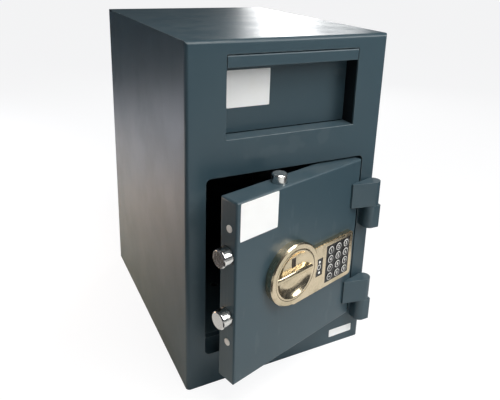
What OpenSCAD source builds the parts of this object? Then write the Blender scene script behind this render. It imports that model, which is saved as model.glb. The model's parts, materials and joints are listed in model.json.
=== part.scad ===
// Front loading deposit safe: a tipping hopper over a bolted door with a keypad lock.
// Origin: centre of the base on the floor. X to the right, Y into the safe, Z up, millimetres.
// Depths below are measured from the front face of the body. The door stands ajar with its bolts thrown.

/* [Body] */
// Width of the body
body_w = 300; // [300:2:420]
// Depth of the body
body_d = 400; // [340:5:520]
// Height of the body
body_h = 500; // [490:5:700]
// Thickness of the body sheets
sheet_t = 3; // [2:0.5:4]
// Outer bend radius round the front
front_bend_r = 6; // [4.5:0.5:9]
// Depth of the folded rim behind the front sheet
front_rim = 16; // [12:1:24]
// How far the back plate is set in from the rims
back_inset = 4; // [2:1:10]

/* [Anchoring] */
// Radius of the anchor hole in the base
anchor_r = 6.5; // [4:0.5:8]
// Anchor hole, distance to the left of the centre
anchor_left = 15; // [0:1:60]
// Anchor hole, distance behind the centre
anchor_behind = 25; // [-60:1:90]
// Radius of the two wall fixing holes in the back
wall_hole_r = 5.5; // [4:0.5:7]
// Distance between the two wall fixing holes
wall_hole_gap = 160; // [80:5:200]
// Height of the wall fixing holes
wall_hole_z = 150; // [60:5:250]

/* [Hopper] */
// Width of the hopper opening
hopper_w = 198; // [150:1:210]
// Height of the hopper opening
hopper_h = 109.5; // [100:0.5:115]
// Hopper opening, shift to the right of the centre
hopper_shift = 3; // [-8:0.5:8]
// Height of the front above the hopper opening
head_h = 18; // [16:0.5:24]
// How deep the hopper panel lies behind the front
recess_d = 25; // [20:0.5:28]
// Height of the grip lip on the hopper
lip_h = 15.5; // [12:0.5:20]
// Clear gap round the hopper
hopper_gap = 1; // [0.6:0.1:2]
// Thickness of the hopper sheets
hopper_t = 1.5; // [1.2:0.1:2]
// Thickness of the chute sheets
chute_t = 2; // [1.5:0.1:3]
// Slope of the hopper tray and of the floor under it
tray_slope = 20; // [12:1:22]
// Radius of the hopper pivot rod
pivot_r = 4; // [3:0.5:4.5]
// Depth of the side plates of the chute
chute_d = 150; // [145:1:180]
// Number of teeth along the guard and along the floor of the chute
teeth = 14; // [8:1:18]
// Height of those teeth
tooth_h = 9; // [5:0.5:10]

/* [Door] */
// Width of the front to the left of the door opening
free_margin = 27.5; // [20:0.5:35]
// Height of the front between the two openings
band_h = 50; // [40:0.5:60]
// Height of the front below the door opening
sill_h = 52.5; // [48:0.5:58]
// Width of the front to the right of the door opening
hinge_margin = 25; // [23:0.5:28]
// Corner radius of the door opening
opening_r = 7; // [3:0.5:7]
// Clear gap round the door
door_gap = 3; // [2.8:0.1:3.5]
// Depth of the door pan
door_d = 31; // [30:0.5:31]
// Thickness of the door pan
door_t = 3; // [2:0.5:3]
// Radius of the door's outer edges and corners
door_edge_r = 3.5; // [3:0.1:4]
// Width of the flange folded in behind the door pan
door_flange = 12; // [10:0.5:14]
// Thickness of the cover behind the door
cover_t = 1.5; // [1:0.1:2]
// Width of the door stop round the opening
stop_w = 8; // [5:0.5:10]
// How far the door stands open
ajar = 16; // [0:1:60]

/* [Hinges] */
// Radius of the hinge barrel
barrel_r = 10; // [8:0.5:10.5]
// Radius of the hinge pin
hinge_pin_r = 4; // [3:0.5:5]
// Hinge pin, distance to the right of the door opening
pin_side = 17; // [15:0.5:18]
// Height of the door leaf of a hinge
leaf_h = 38; // [30:1:45]
// Height of the body knuckle of a hinge
knuckle_h = 36; // [28:1:40]
// Length of the leaf to the left of the pin
leaf_reach = 39; // [32:1:45]
// Thickness of the thin end of the leaf
leaf_t = 3; // [2:0.5:4]
// Height of the lower hinge joint above the sill of the opening
low_hinge = 29.5; // [10:0.5:40]
// Upper hinge joint, distance below the top of the opening
high_hinge = 76.5; // [60:0.5:100]

/* [Bolts] */
// Radius of the two side bolts
side_bolt_r = 12.5; // [9:0.5:12.5]
// How far the side bolts stand out of the door
side_throw = 14.5; // [9:0.5:15]
// Height of the lower side bolt above the bottom of the door
low_bolt = 99.5; // [90:0.5:105]
// Upper side bolt, distance below the top of the door
high_bolt = 76; // [69:0.5:82]
// Radius of the top bolt
top_bolt_r = 10.5; // [8:0.5:10.5]
// How far the top bolt stands out of the door
top_throw = 12; // [8:0.5:12.5]
// Top bolt, distance from the free edge of the door
top_bolt_in = 86; // [82:0.5:90]
// Depth of the axes of the bolts behind the door face
bolt_depth = 16.2; // [16:0.1:16.4]
// Chamfer on the ends of the bolts
bolt_chamfer = 1.5; // [0.5:0.1:2.5]
// Clear gap between a bolt and its hole
bolt_gap = 0.4; // [0.2:0.05:0.5]

/* [Lock] */
// Knob centre, distance from the free edge of the door
knob_in = 98; // [96:0.5:101]
// Knob centre, height above the bottom of the door
knob_up = 134; // [131:0.5:137]
// Radius of the ring round the knob
ring_r = 46; // [43:0.5:46.5]
// How far the ring stands out of the door
ring_h = 12; // [11:0.5:14]
// Radius of the knob
knob_r = 37.5; // [34:0.5:39]
// Depth of the bowl in the knob
bowl_d = 7; // [5:0.5:7.5]
// Width of the grip bar across the knob
grip_w = 10; // [7:0.5:14]
// Radius of the spindle
spindle_r = 5; // [4:0.5:6]
// Turn of the knob between locked and unlocked
knob_turn = 60; // [50:1:70]
// Length of the keypad part to the right of the knob centre
keypad_reach = 129; // [127:0.5:132]
// Height of the keypad part
keypad_h = 74; // [72:0.5:78]
// How far the keypad part stands out of the door
keypad_t = 7.5; // [7:0.1:8.5]

/* [Keys] */
// Diameter of a key
key_d = 11.6; // [9:0.1:12.4]
// Distance between two columns of keys
key_pitch_x = 17; // [14.4:0.1:17.6]
// Distance between two rows of keys
key_pitch_z = 14.4; // [14.2:0.1:14.6]
// How far a key is pressed
key_travel = 0.8; // [0.4:0.1:0.8]

/* [Hidden] */
$fn = 64;

// Fits: a seated piece, a turning fit, the slack round a sliding pin, and how far a cut runs past a face
seat_gap = 0.3;
running = 0.05;
slack = 0.4;
past = 1;

// Colours
PAINT = [0.29, 0.35, 0.38];
STEEL = [0.78, 0.78, 0.79];
GOLD = [0.80, 0.74, 0.58];
BLACK = [0.06, 0.06, 0.07];
WHITE = [0.93, 0.93, 0.91];
GREEN = [0.10, 0.32, 0.18];
RED = [0.70, 0.10, 0.08];

// Body
half_w = body_w / 2;
front_y = -body_d / 2;
inner_w = half_w - sheet_t;
inner_top = body_h - sheet_t;
back_y = body_d - back_inset;

// Hopper: opening, pivot, panel, lip and cheeks
hop_x0 = hopper_shift - hopper_w / 2;
hop_x1 = hopper_shift + hopper_w / 2;
hop_z1 = body_h - head_h;
hop_z0 = hop_z1 - hopper_h;
pivot_z = hop_z0 + pivot_r + 2;
panel_x0 = hop_x0 + hopper_gap;
panel_x1 = hop_x1 - hopper_gap;
panel_back = recess_d + hopper_t;
pivot_y = panel_back + pivot_r + seat_gap;
panel_z0 = hop_z0 + 1;
lip_z1 = hop_z1 - hopper_gap;
lip_z0 = lip_z1 - lip_h;
lip_soft_r = 2.5;
cheek_r = hop_z1 - pivot_z - 7.5;
tray_len = cheek_r - 2;
tray_drop = pivot_r + seat_gap;
tray_lip_h = 6;
rod_ring_r = pivot_r + 3;
rod_ring_w = 2;

// Chute: sill, sloping floor and guard
sill_d = recess_d - seat_gap;
floor_z = pivot_z - 9;
floor_fall = tan(tray_slope);
floor_end = chute_d - 12;
chute_skirt = 6;
guard_r = cheek_r + 2.5;
guard_low = 31;
guard_high = 78;
guard_flats = 4;
guard_turn = (guard_high - guard_low) / guard_flats;
comb_lap = 12;
tooth_pitch = hopper_w / teeth;
tooth_land = 0.08;

// Door opening and closed door
open_x0 = free_margin - half_w;
open_x1 = half_w - hinge_margin;
open_z0 = sill_h;
open_z1 = hop_z0 - band_h;
door_x0 = open_x0 + door_gap;
door_x1 = open_x1 - door_gap;
door_z0 = open_z0 + door_gap;
door_z1 = open_z1 - door_gap;
door_fold_r = 3;
door_lip_t = 2;
door_back = door_d + cover_t;
cover_inset = 3;
stop_y = door_back + 1;
jamb_back = stop_y + sheet_t;

// Caps in the free edge, and the screws of the cover
cap_low = 62.5;
cap_high = 38;
cap_heights = [door_z0 + cap_low, door_z1 - cap_high];
cap_y = 13;
cap_r = 3.5;
cap_head_r = 5;
cap_head_t = 1;
screw_r = 1.6;
screw_head_r = 3;
screw_head_t = 0.8;
screw_len = 6;
screw_in = 7;
screw_slot = 0.8;
screw_places = [for (x = [door_x0 + screw_in, (door_x0 + door_x1) / 2, door_x1 - screw_in],
    z = [door_z0 + screw_in, door_z1 - screw_in]) [x, z]];

// Hinges
pin_x = open_x1 + pin_side;
pin_y = -(barrel_r + 0.5);
knuckle_x0 = open_x1 + 4;
knuckle_x1 = pin_x + barrel_r + 0.5;
knuckle_front = pin_y - barrel_r;
knuckle_left_r = barrel_r + 1;
knuckle_right_r = 2.5;
hinge_heights = [open_z0 + low_hinge, open_z1 - high_hinge];
pin_short = 6;

// Boltwork behind the door face: web of the carriage, cam, then the link of the top bolt
side_travel = side_throw + 0.5;
top_travel = top_throw + 0.5;
bolt_heights = [door_z0 + low_bolt, door_z1 - high_bolt];
top_bolt_x = door_x0 + top_bolt_in;
side_bolt_len = 42;
top_bolt_len = 46;
knob_x = door_x0 + knob_in;
knob_z = door_z0 + knob_up;
half_turn = knob_turn / 2;
crank_r = side_travel / (2 * sin(half_turn));
link_r = top_travel / (2 * sin(half_turn));
crank_pin_r = 3;
link_pin_r = 2.5;
web_y = 8;
web_t = 3;
cam_y = web_y + web_t + 1;
cam_t = 4;
cam_r = crank_r + crank_pin_r + 1.5;
link_y = cam_y + cam_t + 1;
link_back = link_y + web_t;
carriage_x = door_x0 - side_throw + side_bolt_len;
carriage_reach = 14;
arm_z0 = knob_z + spindle_r + 3;
arm_z1 = knob_z + crank_r + crank_pin_r + 4;
crank_x = knob_x - side_travel / 2;
link_top = door_z1 + top_throw - top_bolt_len;
link_pin_z = knob_z + top_travel / 2;
link_half = 6;
stud_r = 3;
stud_head_r = 5;
stud_head_t = 1.5;
stud_inset = 6;
stud_spread = 12;
link_stud_drop = 20;
carriage_stud_x = carriage_x + stud_inset + side_travel + stud_r;
carriage_stud_heights = [bolt_heights[0] + stud_spread, bolt_heights[1] - stud_spread];
web_end = carriage_stud_x + stud_r + 4;
link_stud_z = link_top - link_stud_drop;

// Solenoid under the cam, with a notch in the cam for its plunger
plunger_r = 4;
plunger_y = cam_y + cam_t / 2;
plunger_stroke = 6;
notch_d = plunger_stroke + 0.8;
plunger_top = knob_z - cam_r - 0.6;
solenoid_half = 11;
solenoid_top = plunger_top - 8;
solenoid_h = 28;

// Bush of the spindle
bush_r = spindle_r + 3;
bush_flange_r = spindle_r + 6;
bush_flange_t = 2;

// Keypad: field, window, keys and board, from the front to the back
housing_floor = 2;
ring_chamfer = 2;
keypad_rise = 22.5;
keypad_x1 = knob_x + keypad_reach;
keypad_z1 = knob_z + keypad_rise;
keypad_z0 = keypad_z1 - keypad_h;
keypad_corner_r = 7;
field_w = 53;
field_x1 = keypad_x1 - 8;
field_x0 = field_x1 - field_w;
field_z0 = keypad_z0 + 7.5;
field_z1 = keypad_z1 - 6.5;
field_front = 0.4 - keypad_t;
field_t = 2.4;
key_x = (field_x0 + field_x1) / 2;
key_z = (field_z0 + field_z1) / 2;
key_places = [for (row = [0 : 3], col = [0 : 2])
    [key_x + (col - 1) * key_pitch_x, key_z + (1.5 - row) * key_pitch_z]];
key_front = -keypad_t - 0.7;
key_dome = 0.4;
key_gap = 0.25;
key_collar = 0.7;
key_collar_t = 0.8;
collar_y = field_front + field_t + seat_gap;
board_y = collar_y + key_collar_t + key_travel + seat_gap;
board_t = 1.2;
plug_r = 4;
window_w = 14;
window_h = 28;
window_rise = 18;
window_x1 = field_x0 - 7;
window_x0 = window_x1 - window_w;
window_z0 = field_z0 + window_rise;
window_z1 = window_z0 + window_h;
lamp_r = 2.2;
lamp_gap = 17;

// Knob
knob_back = -housing_floor - seat_gap;
bowl_r = knob_r - 3;
bowl_floor_r = knob_r - 10;
grip_y = 3.5 - ring_h;
key_slot_w = 8;
key_slot_h = 15;
key_slot_x = knob_x + 2;

// Battery case behind the cover
cell_r = 7.2;
cell_len = 50;
cells = 4;
case_wall = 1.5;
cell_pitch = 2 * cell_r + 0.5;
case_w = (cells - 1) * cell_pitch + 2 * (cell_r + seat_gap + case_wall);
case_h = cell_len + 2 * (seat_gap + case_wall);
case_in = 22;
case_x0 = door_x1 - case_in - case_w;
case_z0 = door_z0 + case_in;
case_y0 = door_d - 2 * cell_r - seat_gap - case_wall - 0.5;
lid_over = 2;
lid_t = 1.2;
grip_ribs = 5;
rib_w = 1.5;
rib_len = 12;
rib_h = 0.6;
rib_in = 4;
rib_pitch = 4;
rib_z = case_z0 + 19;

// Reset button on the inner face of the door
reset_in = 45;
reset_down = 40;
reset_x = door_x1 - reset_in;
reset_z = door_z1 - reset_down;
reset_r = 4;
reset_out = 1.5;
reset_collar = 2;
reset_collar_t = 3;
reset_wall = 1.5;
reset_y0 = door_d - seat_gap - reset_collar_t - reset_out - seat_gap - reset_wall;

// Shape helpers
// Extrudes a drawing of X and Z from one depth to another
module into(y0, y1) {
    translate([0, y1, 0]) rotate([90, 0, 0]) linear_extrude(y1 - y0) children();
}
// Extrudes a drawing of depth and Z from one X to another
module across(x0, x1) {
    translate([x0, 0, 0]) rotate([90, 0, 90]) linear_extrude(x1 - x0) children();
}
// Extrudes a drawing of X and depth from one height to another
module up(z0, z1) {
    translate([0, 0, z0]) linear_extrude(z1 - z0) children();
}
// Round bar along the depth at a point of X and Z
module bar_y(x, z, y0, y1, r) {
    translate([x, y1, z]) rotate([90, 0, 0]) cylinder(h = y1 - y0, r = r);
}
// Round bar along X at a point of depth and Z
module bar_x(y, z, x0, x1, r) {
    translate([x0, y, z]) rotate([0, 90, 0]) cylinder(h = x1 - x0, r = r);
}
// Round bar upwards at a point of X and depth
module bar_z(x, y, z0, z1, r) {
    translate([x, y, z0]) cylinder(h = z1 - z0, r = r);
}
// Cone along the depth, wide or narrow at the front
module cone_y(x, z, y0, y1, front_r, back_r) {
    translate([x, y1, z]) rotate([90, 0, 0]) cylinder(h = y1 - y0, r1 = back_r, r2 = front_r);
}
// Box between two corners
module block(x0, x1, y0, y1, z0, z1) {
    translate([x0, y0, z0]) cube([x1 - x0, y1 - y0, z1 - z0]);
}
// Rectangle between two corners
module rect(a0, a1, b0, b1) {
    translate([a0, b0]) square([a1 - a0, b1 - b0]);
}
// Rectangle with round corners
module round_rect(a0, a1, b0, b1, r) {
    rect(a0 + r, a1 - r, b0, b1);
    rect(a0, a1, b0 + r, b1 - r);
    for (a = [a0 + r, a1 - r], b = [b0 + r, b1 - r]) translate([a, b]) circle(r);
}
// Ring between two radii and two angles, centred on the origin
module arc_strip(r0, r1, a0, a1) {
    reach = 2 * r1;
    intersection() {
        difference() {
            circle(r1, $fn = 128);
            circle(r0, $fn = 128);
        }
        polygon([[0, 0], [reach * cos(a0), reach * sin(a0)],
            [reach * cos((a0 + a1) / 2), reach * sin((a0 + a1) / 2)], [reach * cos(a1), reach * sin(a1)]]);
    }
}
// Block whose front edges are bent round at the left, the right and the top
module bent_block(x0, x1, d, z0, z1, r) {
    intersection() {
        up(z0, z1) {
            rect(x0, x1, r, d);
            rect(x0 + r, x1 - r, 0, d);
            for (x = [x0 + r, x1 - r]) translate([x, r]) circle(r);
        }
        across(x0, x1) {
            rect(r, d, z0, z1);
            rect(0, d, z0, z1 - r);
            translate([r, z1 - r]) circle(r);
        }
    }
}
// Rectangle with one radius at its low edge and another at its high edge
module pan_outline(a0, a1, b0, b1, low_r, high_r) {
    middle = (b0 + b1) / 2;
    rect(a0, a1, b0 + low_r, b1 - high_r);
    rect(a0 + low_r, a1 - low_r, b0, middle);
    rect(a0 + high_r, a1 - high_r, middle, b1);
    for (a = [a0 + low_r, a1 - low_r]) translate([a, b0 + low_r]) circle(low_r);
    for (a = [a0 + high_r, a1 - high_r]) translate([a, b1 - high_r]) circle(high_r);
}
// Places a piece by its depth behind the front face
module behind_front() {
    translate([0, front_y, 0]) children();
}
// Places a piece drawn on the closed door
module on_door() {
    behind_front() translate([pin_x, pin_y, 0]) rotate([0, 0, ajar])
        translate([-pin_x, -pin_y, 0]) children();
}

// Body shell
module front_frame() color(PAINT) behind_front() difference() {
    bent_block(-half_w, half_w, front_rim, 0, body_h, front_bend_r);
    translate([0, sheet_t, 0])
        bent_block(-inner_w, inner_w, front_rim, sheet_t, inner_top, front_bend_r - sheet_t);
    into(-past, sheet_t + past) rect(hop_x0, hop_x1, hop_z0, hop_z1);
    into(-past, sheet_t + past) round_rect(open_x0, open_x1, open_z0, open_z1, opening_r);
}
module side_plate(x0) {
    color(PAINT) behind_front() block(x0, x0 + sheet_t, front_rim, body_d, 0, inner_top);
}
module side_left() side_plate(-half_w);
module side_right() side_plate(inner_w);
module top_plate() color(PAINT) behind_front() block(-half_w, half_w, front_rim, body_d, inner_top, body_h);
module back_plate() color(PAINT) behind_front() difference() {
    block(-inner_w, inner_w, back_y - sheet_t, back_y, sheet_t, inner_top);
    for (side = [-1, 1])
        bar_y(side * wall_hole_gap / 2, wall_hole_z, back_y - sheet_t - past, back_y + past, wall_hole_r);
}
module base_plate() color(PAINT) difference() {
    behind_front() block(-inner_w, inner_w, front_rim, body_d, 0, sheet_t);
    bar_z(-anchor_left, anchor_behind, -past, sheet_t + past, anchor_r);
}

// Folded jamb round the door opening, with the holes that the bolts enter
module jamb_left() color(PAINT) behind_front() difference() {
    union() {
        block(open_x0 - sheet_t, open_x0, sheet_t, jamb_back, open_z0, open_z1);
        block(open_x0, open_x0 + stop_w, stop_y, jamb_back, open_z0, open_z1);
    }
    for (z = bolt_heights)
        bar_x(bolt_depth, z, open_x0 - sheet_t - past, open_x0 + past, side_bolt_r + bolt_gap);
}
module jamb_right() color(PAINT) behind_front()
    block(open_x1, open_x1 + sheet_t, sheet_t, jamb_back, open_z0, open_z1);
module jamb_head() color(PAINT) behind_front() difference() {
    union() {
        block(open_x0 - sheet_t, open_x1 + sheet_t, sheet_t, jamb_back, open_z1, open_z1 + sheet_t);
        block(open_x0 + stop_w, open_x1, stop_y, jamb_back, open_z1 - stop_w, open_z1);
    }
    bar_z(top_bolt_x, bolt_depth, open_z1 - past, open_z1 + sheet_t + past, top_bolt_r + bolt_gap);
}
module jamb_sill() color(PAINT) behind_front() {
    block(open_x0 - sheet_t, open_x1 + sheet_t, sheet_t, jamb_back, open_z0 - sheet_t, open_z0);
    block(open_x0 + stop_w, open_x1, stop_y, jamb_back, open_z0, open_z0 + stop_w);
}

// Side plates of the chute, which carry the pivot of the hopper
module chute_side(x0) color(PAINT) behind_front() difference() {
    across(x0, x0 + chute_t) polygon([[sheet_t, inner_top], [chute_d, inner_top],
        [chute_d, floor_z - (chute_d - pivot_y) * floor_fall - chute_skirt],
        [sheet_t, floor_z - chute_skirt]]);
    bar_x(pivot_y, pivot_z, x0 - past, x0 + chute_t + past, pivot_r + running);
}
module chute_left() chute_side(hop_x0 - chute_t);
module chute_right() chute_side(hop_x1);
// Height of the sloping floor at a depth
function floor_at(y) = floor_z - (y - pivot_y) * floor_fall;
// Sill in front of the hopper, folded down, level under the pivot, then sloping to a toothed rear edge
module chute_floor() color(PAINT) behind_front() difference() {
    fold_y = sill_d - chute_t;
    end_z = floor_at(floor_end);
    across(hop_x0, hop_x1) polygon([[sheet_t, hop_z0], [sill_d, hop_z0], [sill_d, floor_z],
        [pivot_y, floor_z], [floor_end, end_z], [floor_end, end_z - chute_t],
        [pivot_y, floor_z - chute_t], [fold_y, floor_z - chute_t], [fold_y, hop_z0 - chute_t],
        [sheet_t, hop_z0 - chute_t]]);
    for (i = [0 : teeth - 1]) up(0, hop_z0) translate([hop_x0 + i * tooth_pitch, floor_end])
        polygon([[tooth_land * tooth_pitch, past], [tooth_pitch / 2, -tooth_h],
            [(1 - tooth_land) * tooth_pitch, past]]);
}
// Guard over the swing of the hopper, bent in flats round the pivot and hung from the top
module fishing_guard() color(PAINT) behind_front() {
    turns = [for (i = [0 : guard_flats]) guard_low + i * guard_turn];
    near_r = guard_r / cos(guard_turn / 2);
    far_r = (guard_r + chute_t) / cos(guard_turn / 2);
    tab_y = near_r * cos(guard_high);
    across(hop_x0, hop_x1) translate([pivot_y, pivot_z]) {
        polygon([for (a = turns) near_r * [cos(a), sin(a)],
            for (i = [guard_flats : -1 : 0]) far_r * [cos(turns[i]), sin(turns[i])]]);
        rect(tab_y, tab_y + chute_t, near_r * sin(guard_high), inner_top - pivot_z);
    }
}
// Toothed comb welded along the back of the guard's lowest flat
module guard_comb() color(PAINT) behind_front()
    translate([0, pivot_y, pivot_z]) rotate([guard_low + guard_turn / 2, 0, 0])
        into(guard_r + chute_t, guard_r + 2 * chute_t) difference() {
            edge = -guard_r * tan(guard_turn / 2);
            rect(hop_x0, hop_x1, edge - tooth_h, edge + comb_lap);
            for (i = [0 : teeth - 1]) translate([hop_x0 + i * tooth_pitch, edge - tooth_h])
                polygon([[tooth_land * tooth_pitch, -past], [tooth_pitch / 2, tooth_h],
                    [(1 - tooth_land) * tooth_pitch, -past]]);
        }

// Hinges: a knuckle on the body, a pin, and a leaf that runs from the door face out to the barrel
module knuckle(z1) color(PAINT) behind_front() difference() {
    left_x = knuckle_x0 + knuckle_left_r;
    right_x = knuckle_x1 - knuckle_right_r;
    up(z1 - knuckle_h, z1) intersection() {
        rect(knuckle_x0, knuckle_x1, knuckle_front, 0);
        union() {
            rect(knuckle_x0, knuckle_x1, knuckle_front + knuckle_left_r, 0);
            rect(left_x, right_x, knuckle_front, 0);
            rect(left_x, knuckle_x1, knuckle_front + knuckle_right_r, 0);
            translate([left_x, knuckle_front + knuckle_left_r]) circle(knuckle_left_r);
            translate([right_x, knuckle_front + knuckle_right_r]) circle(knuckle_right_r);
        }
    }
    bar_z(pin_x, pin_y, z1 - knuckle_h - past, z1 + past, hinge_pin_r + running);
}
module knuckle_lower() knuckle(hinge_heights[0] - seat_gap);
module knuckle_upper() knuckle(hinge_heights[1] - seat_gap);
module hinge_pins() color(STEEL) behind_front()
    for (z = hinge_heights)
        bar_z(pin_x, pin_y, z - seat_gap - knuckle_h, z + leaf_h - pin_short, hinge_pin_r);
module leaf(z0) color(PAINT) on_door() difference() {
    tail_x = pin_x - leaf_reach;
    rise = -pin_y - leaf_t;
    far = norm([leaf_reach, rise]);
    turn = -atan2(rise, leaf_reach) - asin(barrel_r / far);
    run = sqrt(far * far - barrel_r * barrel_r);
    back_y = pin_y + barrel_r;
    up(z0, z0 + leaf_h) {
        polygon([[tail_x, 0], [tail_x, -leaf_t], [tail_x + run * cos(turn), -leaf_t + run * sin(turn)],
            [pin_x, pin_y], [pin_x, back_y], [door_x1 - 1, back_y], [door_x1 - 1, 0]]);
        translate([pin_x, pin_y]) circle(barrel_r);
    }
    bar_z(pin_x, pin_y, z0 - past, z0 + leaf_h - pin_short + 1, hinge_pin_r + running);
}
module leaf_lower() leaf(hinge_heights[0]);
module leaf_upper() leaf(hinge_heights[1]);

// Hopper: panel and hollow lip, cheeks, tray and rod
module hopper_front() color(PAINT) behind_front() across(panel_x0, panel_x1) {
    difference() {
        union() {
            rect(0, panel_back, lip_z0, lip_z1 - lip_soft_r);
            rect(lip_soft_r, panel_back, lip_z0, lip_z1);
            translate([lip_soft_r, lip_z1 - lip_soft_r]) circle(lip_soft_r);
        }
        rect(hopper_t, recess_d, lip_z0 + hopper_t, lip_z1 - hopper_t);
    }
    rect(recess_d, panel_back, panel_z0, lip_z0);
}
module hopper_cheeks() color(PAINT) behind_front() difference() {
    reach = 2 * cheek_r;
    front = panel_back - pivot_y;
    under = tray_drop + hopper_t;
    for (x = [panel_x0, panel_x1 - hopper_t])
        across(x, x + hopper_t) translate([pivot_y, pivot_z]) intersection() {
            circle(cheek_r, $fn = 128);
            polygon([[front, reach], [front, -under], [0, -under / cos(tray_slope)],
                [reach, -reach * floor_fall - under / cos(tray_slope)], [reach, reach]]);
        }
    bar_x(pivot_y, pivot_z, panel_x0 - past, panel_x1 + past, pivot_r + running);
}
module hopper_tray() color(PAINT) behind_front() across(panel_x0 + hopper_t, panel_x1 - hopper_t)
    translate([pivot_y, pivot_z]) rotate(-tray_slope) difference() {
        union() {
            rect(-pivot_y, tray_len, -tray_drop - hopper_t, -tray_drop);
            rect(tray_len - hopper_t, tray_len, -tray_drop - hopper_t, tray_lip_h - tray_drop);
        }
        rotate(tray_slope) rect(-2 * pivot_y, panel_back - pivot_y, -pivot_y, pivot_y);
    }
module hopper_rod() color(STEEL) behind_front() {
    end = chute_t + seat_gap;
    bar_x(pivot_y, pivot_z, hop_x0 - end - rod_ring_w, hop_x1 + end + rod_ring_w, pivot_r);
    for (x = [hop_x0 - end - rod_ring_w, hop_x1 + end])
        bar_x(pivot_y, pivot_z, x, x + rod_ring_w, rod_ring_r);
}

// Door shell
module door_pan() color(PAINT) on_door() difference() {
    intersection() {
        up(door_z0, door_z1) pan_outline(door_x0, door_x1, 0, door_d, door_edge_r, door_fold_r);
        across(door_x0, door_x1) rotate(90) mirror([0, 1])
            pan_outline(door_z0, door_z1, 0, door_d, door_edge_r, door_fold_r);
        into(0, door_d) round_rect(door_x0, door_x1, door_z0, door_z1, door_edge_r);
    }
    block(door_x0 + door_t, door_x1 - door_t, door_t, door_d - door_lip_t,
        door_z0 + door_t, door_z1 - door_t);
    into(door_d - door_lip_t - past, door_d + past) round_rect(door_x0 + door_flange, door_x1 - door_flange,
        door_z0 + door_flange, door_z1 - door_flange, door_edge_r);
    for (z = bolt_heights)
        bar_x(bolt_depth, z, door_x0 - past, door_x0 + door_t + past, side_bolt_r + bolt_gap);
    bar_z(top_bolt_x, bolt_depth, door_z1 - door_t - past, door_z1 + past, top_bolt_r + bolt_gap);
    for (z = cap_heights) bar_x(cap_y, z, door_x0 - past, door_x0 + door_t + past, cap_r + running);
    bar_y(knob_x, knob_z, -past, door_t + past, bush_r + running);
    bar_y(key_x, key_z, -past, door_t + past, plug_r + seat_gap);
    for (p = screw_places) bar_y(p[0], p[1], door_d - door_lip_t - past, door_d + past, screw_r + running);
}
module side_caps() color(WHITE) on_door() for (z = cap_heights) {
    bar_x(cap_y, z, door_x0 - cap_head_t, door_x0, cap_head_r);
    bar_x(cap_y, z, door_x0, door_x0 + door_t + past, cap_r);
}
module door_cover() color(PAINT) on_door() difference() {
    into(door_d, door_back) round_rect(door_x0 + cover_inset, door_x1 - cover_inset, door_z0 + cover_inset,
        door_z1 - cover_inset, cover_inset);
    into(door_d - past, door_back + past) rect(case_x0 + case_wall, case_x0 + case_w - case_wall,
        case_z0 + case_wall, case_z0 + case_h - case_wall);
    bar_y(reset_x, reset_z, door_d - past, door_back + past, reset_r + seat_gap);
    for (p = screw_places) bar_y(p[0], p[1], door_d - past, door_back + past, screw_r + running);
}
module cover_screws() color(STEEL) on_door() for (p = screw_places) {
    bar_y(p[0], p[1], door_back - screw_len, door_back, screw_r);
    difference() {
        bar_y(p[0], p[1], door_back, door_back + screw_head_t, screw_head_r);
        block(p[0] - screw_head_r + screw_slot, p[0] + screw_head_r - screw_slot,
            door_back + screw_head_t / 2, door_back + screw_head_t + past,
            p[1] - screw_slot / 2, p[1] + screw_slot / 2);
    }
}

// Lock housing: ring and keypad plate in one casting
module lock_housing() color(GOLD) on_door() difference() {
    union() {
        bar_y(knob_x, knob_z, ring_chamfer - ring_h, 0, ring_r);
        cone_y(knob_x, knob_z, -ring_h, ring_chamfer - ring_h, ring_r - ring_chamfer, ring_r);
        into(1 - keypad_t, 0) round_rect(knob_x, keypad_x1, keypad_z0, keypad_z1, keypad_corner_r);
        into(-keypad_t, 0)
            round_rect(knob_x, keypad_x1 - 1, keypad_z0 + 1, keypad_z1 - 1, keypad_corner_r - 1);
    }
    bar_y(knob_x, knob_z, -ring_h - past, -housing_floor, knob_r + 0.5);
    bar_y(knob_x, knob_z, -housing_floor - past, past, bush_r + running);
    into(-keypad_t - past, past) round_rect(field_x0, field_x1, field_z0, field_z1, 1.5);
    into(-keypad_t - past, housing_floor - keypad_t)
        round_rect(window_x0, window_x1, window_z0, window_z1, 1);
}
module keypad_frame() color(BLACK) on_door() difference() {
    into(field_front, field_front + field_t) round_rect(field_x0, field_x1, field_z0, field_z1, 1.5);
    for (p = key_places) bar_y(p[0], p[1], -keypad_t - past, 0, key_d / 2 + key_gap);
}
module indicator_window() color(BLACK) on_door() {
    into(field_front, housing_floor - keypad_t) round_rect(window_x0, window_x1, window_z0, window_z1, 1);
    for (side = [-1, 1]) bar_y((window_x0 + window_x1) / 2, (window_z0 + window_z1 + side * lamp_gap) / 2,
        -keypad_t - 0.2, field_front, lamp_r);
}
module keypad_board() color(GREEN) on_door() {
    into(board_y, board_y + board_t)
        rect(field_x0 + seat_gap, field_x1 - seat_gap, field_z0 + seat_gap, field_z1 - seat_gap);
    bar_y(key_x, key_z, board_y + board_t, door_t + past, plug_r);
}
module key(index) color(BLACK) on_door() {
    place = key_places[index];
    bar_y(place[0], place[1], key_front, collar_y, key_d / 2);
    bar_y(place[0], place[1], collar_y, collar_y + key_collar_t, key_d / 2 + key_collar);
    cone_y(place[0], place[1], key_front - key_dome, key_front, key_d / 2 - 0.6, key_d / 2);
}
module key_1() key(0);
module key_2() key(1);
module key_3() key(2);
module key_4() key(3);
module key_5() key(4);
module key_6() key(5);
module key_7() key(6);
module key_8() key(7);
module key_9() key(8);
module key_left() key(9);
module key_0() key(10);
module key_right() key(11);

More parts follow.
